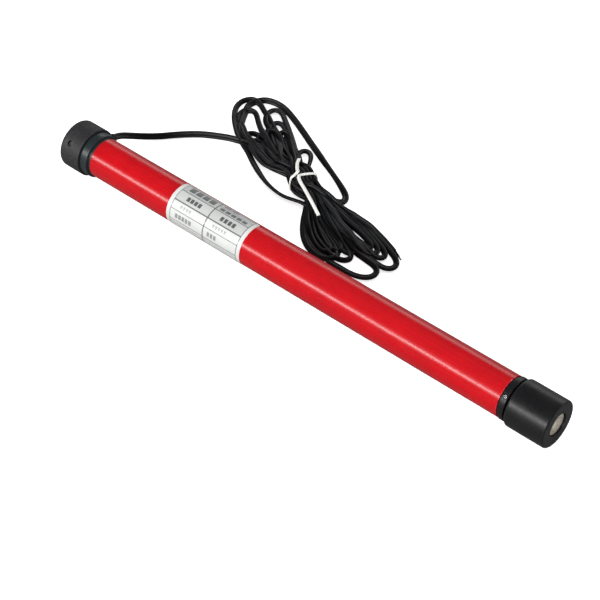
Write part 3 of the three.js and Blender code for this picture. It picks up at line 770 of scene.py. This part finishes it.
bore_floor = ADAPTOR_END - BORE_DEPTH
adaptor = turned("adaptor", [
    (ADAPTOR_BACK, SHAFT_HOLE, 0.1), (ADAPTOR_BACK, HUB_RADIUS, 0.3),
    (ADAPTOR_START, HUB_RADIUS, 0.3), (ADAPTOR_START, ADAPTOR_RADIUS, 1.7),
    (ADAPTOR_END, ADAPTOR_RADIUS, 1.2), (ADAPTOR_END, BORE_RADIUS, 0.3),
    (bore_floor, BORE_RADIUS, 0.2), (bore_floor, SHAFT_HOLE, 0.1),
], 128, closed=True)
WASHER_BACK, WASHER_FRONT = bore_floor + 0.3, bore_floor + 2.4
washer = turned("end_washer", [
    (WASHER_BACK, 2.3, 0.15), (WASHER_BACK, 6.7, 0.2),
    (WASHER_FRONT, 6.7, 0.45), (WASHER_FRONT, 2.3, 0.15),
], 96, closed=True)
seat = bore_floor + 2.45
end_screw = turned("end_screw", [
    (bore_floor - 9, 0, 0), (bore_floor - 9, 1.9, 0.4), (seat, 1.9, 0), (seat, 3.9, 0.15),
    (seat + 0.5, 3.9, 0.3), (seat + 0.95, 2.4, 1.0), (seat + 1, 0, 0),
], 64)
cut(end_screw, cross_cutter(0.42, 2.1, [(seat + 0.1, -0.12), (seat + 3, 0.25)]))
print("adaptor from", round(ADAPTOR_START, 1), "to", round(ADAPTOR_END, 1), "mm")

# %% [markdown]
# Now each new piece rides on its body and stands for its CAD node. The flex and its bare
# cores ride on the root body.

# %% Bodies, stand-ins and the free cord
PIECES = [
    (head, "root", "head_cap", "black_plastic"),
    (crown, "crown", "crown_ring", "black_plastic"),
    (setting_button, "button", "setting_button", "black_gloss_plastic"),
    (grommet, "root", "cord_grommet", "rubber"),
    (tube, "root", "motor_tube", "red_anodised"),
    (label, "root", "rating_label", "label_film"),
    (housing, "root", "bearing_housing", "black_gloss_plastic"),
    (collar_screw, "root", "housing_screw", "plated_steel"),
    (adaptor, "output", "drive_adaptor", "black_gloss_plastic"),
    (washer, "output", "adaptor_washer", "plated_steel"),
    (end_screw, "output", "adaptor_screw", "plated_steel"),
    (wire_tie, "root", "cable_tie", "tie_strip"),
]
for piece, body, node, slot in PIECES:
    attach(piece, body)
    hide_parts(node)
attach(flex, "root")
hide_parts("cord_lead", "cord_hank")
for core in cores:
    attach(core, "root")
for copper in coppers:
    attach(copper, "root")
print("pieces on bodies:", len(PIECES) + 1 + len(cores) + len(coppers))

# %% [markdown]
# Several finishes share an effect, so each effect is a shader node group with its own inputs,
# built once. Moulded plastic has a spark-eroded grain, metal has fine lines left by drawing or
# turning, everything has faint smudges, and edges that rub are a little paler. On the red tube
# the same edge mask paints the rims pale pink: a painted highlight along them, broken up like wear.

# %% Effects that the finishes share
# where each mask begins and where it is full, in the value that it is made from
PIT_RANGE = (0.7, 1.1)
STREAK_RANGE = (0.35, 0.65)
SMUDGE_RANGE = (0.38, 0.62)
OUTWARD_RANGE = (0.515, 0.56)
BROKEN_RANGE = (0.42, 0.6)


def effect(name, inputs, outputs):
    """An empty shader group with inputs as (name, value) and outputs as names."""
    group = bpy.data.node_groups.new(name, "ShaderNodeTree")
    for title, value in inputs:
        kind = "NodeSocketVector" if isinstance(value, tuple) else "NodeSocketFloat"
        socket = group.interface.new_socket(title, in_out="INPUT", socket_type=kind)
        socket.default_value = value
    for title in outputs:
        group.interface.new_socket(title, in_out="OUTPUT", socket_type="NodeSocketFloat")
    return group, group.nodes.new("NodeGroupInput"), group.nodes.new("NodeGroupOutput")


def maths(tree, operation, *values):
    """A Math node; each value is a number or another node's output."""
    node = tree.nodes.new("ShaderNodeMath")
    node.operation = operation
    for socket, value in zip(node.inputs, values):
        if isinstance(value, (int, float)):
            socket.default_value = value
        else:
            tree.links.new(value, socket)
    return node.outputs[0]


def noise(tree, vector, scale, detail=3.0, roughness=0.55):
    node = tree.nodes.new("ShaderNodeTexNoise")
    node.inputs["Detail"].default_value = detail
    node.inputs["Roughness"].default_value = roughness
    tree.links.new(vector, node.inputs["Vector"])
    if isinstance(scale, (int, float)):
        node.inputs["Scale"].default_value = scale
    else:
        tree.links.new(scale, node.inputs["Scale"])
    return node.outputs["Fac"]


def object_place(tree):
    return tree.nodes.new("ShaderNodeTexCoord").outputs["Object"]


def spread(tree, value, low, high, to_low=0.0, to_high=1.0):
    """Maps low to high onto another range, and holds it there."""
    node = tree.nodes.new("ShaderNodeMapRange")
    ends = {"From Min": low, "From Max": high, "To Min": to_low, "To Max": to_high}
    for name, number in ends.items():
        node.inputs[name].default_value = number
    tree.links.new(value, node.inputs["Value"])
    return node.outputs["Result"]


# grain: rounded pits and bumps, Size in mm
grain, start, end = effect("moulded_grain", [("Size", 0.5)], ["Height", "Mask"])
per_metre = maths(grain, "DIVIDE", 1000, start.outputs["Size"])
cells = grain.nodes.new("ShaderNodeTexVoronoi")
cells.feature = "SMOOTH_F1"
grain.links.new(object_place(grain), cells.inputs["Vector"])
grain.links.new(per_metre, cells.inputs["Scale"])
fine = noise(grain, object_place(grain), maths(grain, "MULTIPLY", per_metre, 2.3))
both = maths(grain, "ADD", maths(grain, "MULTIPLY", cells.outputs["Distance"], 0.7), fine)
grain.links.new(both, end.inputs["Height"])
grain.links.new(spread(grain, both, *PIT_RANGE), end.inputs["Mask"])

# lines left by drawing or turning: noise squeezed by Stretch, in features per metre along x, y, z
lines, start, end = effect("tool_lines", [("Stretch", (40.0, 4000.0, 4000.0))],
                           ["Height", "Mask"])
squeezed = lines.nodes.new("ShaderNodeVectorMath")
squeezed.operation = "MULTIPLY"
lines.links.new(object_place(lines), squeezed.inputs[0])
lines.links.new(start.outputs["Stretch"], squeezed.inputs[1])
streaks = noise(lines, squeezed.outputs[0], 1.0, 4)
lines.links.new(streaks, end.inputs["Height"])
lines.links.new(spread(lines, streaks, *STREAK_RANGE), end.inputs["Mask"])

# smudges: large soft patches broken by finer ones, Size in mm
smudge, start, end = effect("smudges", [("Size", 14.0)], ["Mask"])
patch_scale = maths(smudge, "DIVIDE", 1000, start.outputs["Size"])
large = noise(smudge, object_place(smudge), patch_scale, 4, 0.65)
small = noise(smudge, object_place(smudge), maths(smudge, "MULTIPLY", patch_scale, 7), 3)
mixed = maths(smudge, "ADD", maths(smudge, "MULTIPLY", large, 0.7),
              maths(smudge, "MULTIPLY", small, 0.3))
smudge.links.new(spread(smudge, mixed, *SMUDGE_RANGE), end.inputs["Mask"])

# edges: where the surface turns outwards sharply, in broken patches; worn edges on most finishes, and
# a painted highlight on the tube's rims
wear_and_highlight, start, end = effect("edge_wear_and_highlight", [("Amount", 1.0)], ["Mask"])
pointed = wear_and_highlight.nodes.new("ShaderNodeNewGeometry").outputs["Pointiness"]
edges = spread(wear_and_highlight, pointed, *OUTWARD_RANGE)
broken = spread(wear_and_highlight, noise(wear_and_highlight, object_place(wear_and_highlight), 900.0, 4), *BROKEN_RANGE)
worn = maths(wear_and_highlight, "MULTIPLY", maths(wear_and_highlight, "MULTIPLY", edges, broken), start.outputs["Amount"])
wear_and_highlight.links.new(worn, end.inputs["Mask"])
print("effects:", [g.name for g in bpy.data.node_groups])

# %% [markdown]
# A finish starts from one function that sets the even values straight on the shader. Small
# helpers then add what varies: a second colour through a mask, a range of roughness, and relief.

# %% Finish helpers
PLASTIC_TINT, PLASTIC_WEAR = 0.35, 0.6  # how strongly grain and worn edges show their colour
METAL_STAIN, METAL_WEAR = 0.6, 0.7      # and stains and worn edges on metal
PLASTIC_GLOSS = (-0.05, 0.07)           # how far smudges move the roughness
METAL_GLOSS = (-0.06, 0.12)             # and how far tool lines do
WORN_METAL = "F2F0EA"


def srgb(code):
    """A colour written as six hex digits, in the linear light that shaders use."""
    parts = [int(code[i:i + 2], 16) / 255 for i in (0, 2, 4)]
    return tuple(p / 12.92 if p <= 0.04045 else ((p + 0.055) / 1.055) ** 2.4 for p in parts) + (1,)


def new_finish(name, colour, roughness, metallic=0.0, **even):
    """A material and its tree, with the values that are the same all over set on the shader."""
    material = bpy.data.materials.new(name)
    material.use_nodes = True
    shader = material.node_tree.nodes["Principled BSDF"]
    shader.inputs["Base Color"].default_value = srgb(colour)
    shader.inputs["Roughness"].default_value = roughness
    shader.inputs["Metallic"].default_value = metallic
    for socket, value in even.items():
        shader.inputs[socket.replace("_", " ")].default_value = value
    return material, material.node_tree, shader


def use(tree, group, **values):
    """Places an effect in a finish with its own values and returns the node's outputs."""
    node = tree.nodes.new("ShaderNodeGroup")
    node.node_tree = group
    for name, value in values.items():
        node.inputs[name].default_value = value
    return node.outputs


def blend_colour(tree, mask, first, second):
    """A colour from first to second with the mask; each is hex digits or a node's output."""
    node = tree.nodes.new("ShaderNodeMix")
    node.data_type = "RGBA"
    tree.links.new(mask, node.inputs["Factor"])
    for socket, colour in (("A", first), ("B", second)):
        target = [s for s in node.inputs if s.name == socket and s.type == "RGBA"][0]
        if isinstance(colour, str):
            target.default_value = srgb(colour)
        else:
            tree.links.new(colour, target)
    return [s for s in node.outputs if s.type == "RGBA"][0]


def relief(tree, shader, height, distance, strength=0.5):
    """Bumps of a height in mm from a value between 0 and 1."""
    bump = tree.nodes.new("ShaderNodeBump")
    bump.inputs["Strength"].default_value = strength
    bump.inputs["Distance"].default_value = distance * MM
    tree.links.new(height, bump.inputs["Height"])
    tree.links.new(bump.outputs["Normal"], shader.inputs["Normal"])


def moulded_plastic(name, colour, worn, roughness, grain_size, relief_mm, **even):
    """Plastic with a grain, smudges in its gloss, and paler edges."""
    material, tree, shader = new_finish(name, colour, roughness, **even)
    grains = use(tree, grain, Size=grain_size)
    patches = use(tree, smudge, Size=12.0)
    edge = use(tree, wear_and_highlight, Amount=PLASTIC_WEAR)["Mask"]
    tint = maths(tree, "MULTIPLY", grains["Mask"], PLASTIC_TINT)
    speckled = blend_colour(tree, tint, colour, worn)
    tree.links.new(blend_colour(tree, edge, speckled, worn), shader.inputs["Base Color"])
    rough = spread(tree, patches["Mask"], 0, 1, *(roughness + g for g in PLASTIC_GLOSS))
    tree.links.new(rough, shader.inputs["Roughness"])
    relief(tree, shader, grains["Height"], relief_mm)
    return material


def worked_metal(name, colour, stained, roughness, stretch, relief_mm=0.01, metallic=1.0):
    """Metal with tool lines, a stained second colour in patches, and brighter edges. A dull
    plating takes less than 1 as metallic, so that it scatters some light."""
    material, tree, shader = new_finish(name, colour, roughness, metallic)
    marks = use(tree, lines, Stretch=stretch)
    patches = use(tree, smudge, Size=6.0)
    edge = use(tree, wear_and_highlight, Amount=METAL_WEAR)["Mask"]
    stain = blend_colour(tree, maths(tree, "MULTIPLY", patches["Mask"], METAL_STAIN), colour, stained)
    tree.links.new(blend_colour(tree, edge, stain, WORN_METAL), shader.inputs["Base Color"])
    rough = spread(tree, marks["Mask"], 0, 1, *(roughness + g for g in METAL_GLOSS))
    tree.links.new(rough, shader.inputs["Roughness"])
    relief(tree, shader, marks["Height"], relief_mm, 0.35)
    return material


def wear_it(material, *pieces):
    """Gives pieces one finish; a CAD node's own slot is reused, so its mesh isn't touched."""
    for piece in pieces:
        if piece.data.materials:
            piece.material_slots[0].material = material
        else:
            piece.data.materials.append(material)


print("finish helpers ready")

# %% [markdown]
# The outside is mostly red lacquer and several blacks. The tube is lacquered over drawn
# aluminium: a clear, fairly smooth coat in which long soft lights show, with faint lines along
# the tube. The head is dark grey and finely grained. The collar and the adaptor are smoother and
# blacker, so that they catch a grey light along their length. The flex is soft black PVC, and
# the small metal parts are plated steel and copper.

# %% Outer finishes
RED, DEEP_RED = "BC0210", "9E0210"
tube_red, tree, shader = new_finish("red_lacquer", RED, 0.24, 0.0, Specular_IOR_Level=0.34,
                                    Coat_Weight=0.12, Coat_Roughness=0.14)
drawn = use(tree, lines, Stretch=(12.0, 2600.0, 2600.0))
patches = use(tree, smudge, Size=30.0)
# the edge mask at full strength paints the tube's rims and edges pale pink: a painted highlight along
# the rims, broken up like wear
edge = use(tree, wear_and_highlight, Amount=1.0)["Mask"]
deep = blend_colour(tree, maths(tree, "MULTIPLY", patches["Mask"], 0.5), RED, DEEP_RED)
tree.links.new(blend_colour(tree, edge, deep, "E8909A"), shader.inputs["Base Color"])
tree.links.new(spread(tree, drawn["Mask"], 0, 1, 0.21, 0.28), shader.inputs["Roughness"])
relief(tree, shader, drawn["Height"], 0.006, 0.3)
wear_it(tube_red, tube)

head_black = moulded_plastic("head_plastic", "18181A", "4A4A4C", 0.6, 0.8, 0.14)
crown_black = moulded_plastic("crown_plastic", "141C1D", "46565A", 0.36, 0.4, 0.02)
gloss_black = moulded_plastic("gloss_plastic", "0A0A0B", "323236", 0.34, 0.4, 0.012,
                              Specular_IOR_Level=0.35)
soft_rubber = moulded_plastic("soft_rubber", "0E0E0E", "303030", 0.8, 0.3, 0.03)
wear_it(head_black, head)
wear_it(crown_black, crown)
wear_it(gloss_black, housing, adaptor, setting_button)
wear_it(soft_rubber, grommet)

flex_pvc = moulded_plastic("flex_sheath", "060608", "1C1C20", 0.45, 0.6, 0.015,
                           Specular_IOR_Level=0.4)
wear_it(flex_pvc, flex, *cores)
tie_white = moulded_plastic("tie_plastic", "E4E4DE", "FFFFFF", 0.45, 0.5, 0.01)
wear_it(tie_white, wire_tie)

bright_steel = worked_metal("bright_steel", "A2A4A8", "74767A", 0.36, (300.0, 300.0, 6000.0))
nickel = worked_metal("nickel_plate", "F4EEE2", "C4B8A4", 0.45, (400.0, 2500.0, 2500.0),
                      metallic=0.6)
bare_copper = worked_metal("bare_copper", "C4703C", "8A4626", 0.3, (4000.0, 4000.0, 40.0))
wear_it(bright_steel, collar_screw)
wear_it(nickel, washer, end_screw)
wear_it(bare_copper, *coppers)
print("outer finishes:", len(bpy.data.materials))

# %% [markdown]
# The label is printed on silvery film: a ruled grid of cells, a shaded band, and blank bars
# where a real label has its maker and its ratings, so nothing on it can be read. The print is
# worked out from where a point is along the label and round the tube, so no picture is needed.

# %% The label's print
GRID_START, GRID_MIDDLE, GRID_END = 2.8, 28.6, 54.2  # mm along the label
GRID_TOP, GRID_FOOT = 60, 216                        # degrees round the tube
LINE_INK = 0.8  # how dark a ruled line is
# ruled lines: at an angle, its half width in degrees, from and to along the label
ROW_LINES = [(62, 0.9, GRID_START, GRID_END), (76, 0.8, GRID_MIDDLE, GRID_END),
             (94, 1.1, GRID_START, GRID_END), (126, 1.7, GRID_START, GRID_END),
             (151, 0.9, GRID_START, GRID_END), (182, 1.0, GRID_START, GRID_END),
             (192, 0.8, GRID_START, GRID_MIDDLE), (202, 0.8, GRID_START, GRID_MIDDLE),
             (214, 1.0, GRID_START, GRID_END)]
# and along the label: at a distance, its half width in mm
COLUMN_LINES = [(GRID_START, 0.2), (GRID_MIDDLE, 0.38), (GRID_END, 0.24)]
# shaded cells: from and to in mm, from and to in degrees, how dark
SHADED = [(GRID_START, GRID_END, 60, 94, 0.34), (GRID_START, GRID_MIDDLE, 94, 126, 0.22),
          (GRID_MIDDLE, GRID_END, 94, 126, 0.26), (GRID_MIDDLE, GRID_END, 182, 214, 0.14)]
# blank bars: first bar's start, bar width, gap, how many, from and to in degrees, how dark
BARS = [(6.5, 4.2, 0.9, 4, 68, 87, 0.8), (31, 5.2, 0.8, 2, 65, 72, 0.6),
        (31, 3.4, 0.8, 5, 80, 90, 0.75), (10, 2.2, 0.7, 4, 104, 117, 0.85),
        (36, 2.2, 0.8, 4, 104, 117, 0.85),
        (9, 1.5, 0.7, 4, 134, 144, 0.42), (34, 1.5, 0.7, 5, 134, 144, 0.42),
        (7, 2.0, 0.6, 5, 160, 173, 0.6), (32, 1.8, 0.7, 3, 160, 173, 0.6)]

label_film, tree, shader = new_finish("label_print", "B4B4B0", 0.4, 0.0, Coat_Weight=0.2)
apart = tree.nodes.new("ShaderNodeSeparateXYZ")
tree.links.new(object_place(tree), apart.inputs[0])
start_x = JOINT_X + LABEL_START * MM
label_along = maths(tree, "MULTIPLY", maths(tree, "SUBTRACT", apart.outputs["X"], start_x), 1 / MM)
above_axis = maths(tree, "SUBTRACT", apart.outputs["Z"], AXIS_Z)
turned_by = maths(tree, "MULTIPLY", maths(tree, "ARCTAN2", above_axis, apart.outputs["Y"]),
                  180 / math.pi)
past_side = maths(tree, "MULTIPLY", maths(tree, "LESS_THAN", turned_by, -90.0), 360.0)
label_degrees = maths(tree, "ADD", turned_by, past_side)


def between(value, low, high):
    """1 where value is between low and high, else 0."""
    return maths(tree, "COMPARE", value, (low + high) / 2, (high - low) / 2)


def area(from_mm, to_mm, from_degrees, to_degrees):
    """1 inside a rectangle of the label, else 0."""
    return maths(tree, "MULTIPLY", between(label_along, from_mm, to_mm),
                 between(label_degrees, from_degrees, to_degrees))


def darker(first, second):
    return maths(tree, "MAXIMUM", first, second)


cells = maths(tree, "MULTIPLY", label_along, 0)
for from_mm, to_mm, from_degrees, to_degrees, dark in SHADED:
    cell = area(from_mm, to_mm, from_degrees, to_degrees)
    cells = darker(cells, maths(tree, "MULTIPLY", cell, dark))
ink = maths(tree, "MULTIPLY", label_along, 0)
for degrees, half, from_mm, to_mm in ROW_LINES:
    line = area(from_mm, to_mm, degrees - half, degrees + half)
    ink = darker(ink, maths(tree, "MULTIPLY", line, LINE_INK))
for distance, half in COLUMN_LINES:
    line = area(distance - half, distance + half, GRID_TOP + 2, GRID_FOOT - 2)
    ink = darker(ink, maths(tree, "MULTIPLY", line, LINE_INK))
for first, wide, gap, count, from_degrees, to_degrees, dark in BARS:
    row = area(first, first + count * (wide + gap) - gap, from_degrees, to_degrees)
    along_row = maths(tree, "SUBTRACT", label_along, first)
    in_bar = maths(tree, "LESS_THAN", maths(tree, "FLOORED_MODULO", along_row, wide + gap), wide)
    ink = darker(ink, maths(tree, "MULTIPLY", maths(tree, "MULTIPLY", row, in_bar), dark))
film_patches = use(tree, smudge, Size=9.0)
paper = blend_colour(tree, maths(tree, "MULTIPLY", film_patches["Mask"], 0.4), "D2D3D0", "BFC3BF")
shaded = blend_colour(tree, cells, paper, "565E62")
tree.links.new(blend_colour(tree, ink, shaded, "1C1E26"), shader.inputs["Base Color"])
tree.links.new(spread(tree, film_patches["Mask"], 0, 1, 0.34, 0.46), shader.inputs["Roughness"])
relief(tree, shader, use(tree, grain, Size=1.2)["Height"], 0.01, 0.3)
wear_it(label_film, label)
print("label print:", len(tree.nodes), "nodes")

# %% [markdown]
# Inside the tube the CAD pieces stay as they are, and only their finishes are better than plain.
# Each CAD piece has a named material already, and the table below gives the finish for each
# name. The gears are brass, steel and acetal, and the windings are copper wire with its turns
# showing as fine ridges, with painted shade in the grooves between turns and a painted
# highlight on their crests.

# %% Finishes of the inner pieces
across_lines = (300.0, 5000.0, 300.0)
turned_lines = (6000.0, 500.0, 500.0)
brass = worked_metal("gear_brass", "C9A250", "8A6A2C", 0.28, turned_lines)
bronze = worked_metal("sintered_bronze", "A4764A", "6A4A30", 0.5, (2500.0, 2500.0, 2500.0), 0.02)
stamped = worked_metal("stamped_steel", "A9A9AB", "77746E", 0.34, across_lines)

windings, tree, shader = new_finish("enamelled_wire", "B4622E", 0.3, 0.8, Coat_Weight=0.4)
# one wave makes the ridges and paints the copper darker in the grooves and paler on the crests:
# painted shade and painted highlight
turn_ridges_and_shade = tree.nodes.new("ShaderNodeTexWave")
turn_ridges_and_shade.bands_direction = "Y"
turn_ridges_and_shade.inputs["Scale"].default_value = 800
turn_ridges_and_shade.inputs["Distortion"].default_value = 1.2
tree.links.new(object_place(tree), turn_ridges_and_shade.inputs["Vector"])
tree.links.new(blend_colour(tree, turn_ridges_and_shade.outputs["Fac"], "7A3A18", "C8763C"),
               shader.inputs["Base Color"])
relief(tree, shader, turn_ridges_and_shade.outputs["Fac"], 0.15, 0.8)

laminate, tree, shader = new_finish("solder_mask", "14502A", 0.35, 0.0, Coat_Weight=0.3)
tracks = tree.nodes.new("ShaderNodeTexBrick")
tracks.inputs["Scale"].default_value = 160
tracks.inputs["Mortar Size"].default_value = 0.04
tree.links.new(object_place(tree), tracks.inputs["Vector"])
board_colour = blend_colour(tree, tracks.outputs["Fac"], "14502A", "2E7A3E")
fleck = use(tree, smudge, Size=2.0)["Mask"]
tree.links.new(blend_colour(tree, maths(tree, "MULTIPLY", fleck, 0.3), board_colour, "0C3418"),
               shader.inputs["Base Color"])
relief(tree, shader, tracks.outputs["Fac"], 0.05)

natural_acetal = moulded_plastic("natural_acetal", "E4DFCF", "F6F3EA", 0.45, 0.4, 0.01)
grey_moulding = moulded_plastic("grey_moulding", "6E7275", "9A9EA0", 0.5, 0.5, 0.03)
blue_moulding = moulded_plastic("blue_moulding", "1E4C9A", "5A80C0", 0.42, 0.4, 0.02)
part_black = moulded_plastic("component_body", "1A1A1C", "44444A", 0.5, 0.3, 0.02)
magnet_grey = moulded_plastic("magnet_ferrite", "3C3C40", "5C5C62", 0.6, 0.25, 0.03)
pressed_carbon = moulded_plastic("pressed_carbon", "2A2A2C", "4C4C50", 0.7, 0.2, 0.04)

INNER_FINISHES = {
    "brass_gear": brass, "bronze_bush": bronze, "steel": stamped, "plated_steel": nickel,
    "copper": bare_copper, "ferrite": magnet_grey, "circuit_laminate": laminate,
    "white_acetal": natural_acetal, "grey_plastic": grey_moulding, "blue_plastic": blue_moulding,
    "component_black": part_black, "rubber": soft_rubber, "carbon": pressed_carbon,
    "cord_sheath": flex_pvc,
}
stood_for = {node for _, _, node, _ in PIECES} | {"cord_lead", "cord_hank"}
for name, node in sorted(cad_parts.items()):
    if name in stood_for:
        continue
    finish = INNER_FINISHES[node.material_slots[0].material.name.split(".")[0]]
    wear_it(windings if name == "armature_windings" else finish, node)
print("inner pieces finished:", len(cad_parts) - len(stood_for))

# %% [markdown]
# The motor lies on a plain, nearly white floor. It looks white from above, but it throws less
# light back at the motor than it seems to, so that the undersides keep their depth, as they do
# on a light table with a grey surround.

# %% Floor
FLOOR_DROP = 0.05  # mm below the pieces, so that none of them shares the floor's plane
FLOOR_HALF = 3     # metres
floor_z = cad_box[0][2] - FLOOR_DROP * MM
corners = [(x * FLOOR_HALF, y * FLOOR_HALF, floor_z)
           for x, y in ((-1, -1), (1, -1), (1, 1), (-1, 1))]
floor = mesh_piece("floor", corners, [[0, 1, 2, 3]])
floor_white, tree, shader = new_finish("floor_white", "FBFBFB", 0.8, Specular_IOR_Level=0.1,
                                       Emission_Strength=0.7)
paper_tone = use(tree, smudge, Size=60.0)["Mask"]
pale = blend_colour(tree, paper_tone, "FEFEFE", "FAFAFA")
seen = tree.nodes.new("ShaderNodeLightPath").outputs["Is Camera Ray"]
tree.links.new(blend_colour(tree, seen, "848484", pale), shader.inputs["Base Color"])
tree.links.new(blend_colour(tree, seen, "000000", "FFFFFF"), shader.inputs["Emission Color"])
wear_it(floor_white, floor)
floor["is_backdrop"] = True
print("floor at", round(floor_z / MM, 2), "mm")

# %% [markdown]
# One long softbox stands low on the camera's side of the tube and draws a soft highlight along
# it, and a weak one behind draws a thin light on the far side. A wide panel overhead lights the
# floor evenly but doesn't show in the gloss, and a dim surround fills the rest, so hardly any
# shadow shows.

# %% Lights and surround
middle = point(TUBE_END / 2)


def softbox(name, across, above, size, power, shows=True):
    """An area light facing the motor, at metres across and above it; size is (long, wide)."""
    lamp = bpy.data.lights.new(name, "AREA")
    lamp.shape = "RECTANGLE"
    lamp.size, lamp.size_y = size
    lamp.energy = power
    piece = bpy.data.objects.new(name, lamp)
    piece.location = middle + Vector((0, across, above))
    facing = Vector((0, across, above)).normalized()
    along_tube = Vector((1, 0, 0))
    third = facing.cross(along_tube)
    piece.rotation_euler = Matrix((along_tube, third, facing)).transposed().to_euler()
    piece.visible_glossy = shows
    bpy.context.scene.collection.objects.link(piece)


softbox("side_softbox", -0.84, 0.38, (2.4, 0.14), 17)
softbox("back_softbox", 0.95, 0.36, (2.2, 0.4), 4.5)
softbox("top_panel", 0.0, 1.6, (3.0, 3.0), 30, shows=False)

SURROUND_LIGHT = 0.1  # the light it gives; seen directly it is white
world = bpy.data.worlds.new("surround")
world.use_nodes = True
around = world.node_tree.nodes["Background"].inputs
around["Color"].default_value = (1, 1, 1, 1)
behind = world.node_tree.nodes.new("ShaderNodeLightPath").outputs["Is Camera Ray"]
strength = spread(world.node_tree, behind, 0, 1, SURROUND_LIGHT, 1)
world.node_tree.links.new(strength, around["Strength"])
bpy.context.scene.world = world
bpy.context.scene.view_settings.view_transform = "Standard"

# %% Sizes and finish
visual_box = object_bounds()
for name, side_of in (("cad", cad_box), ("visual", visual_box)):
    print(name, [round((b - a) / MM, 1) for a, b in zip(*side_of)], "mm")
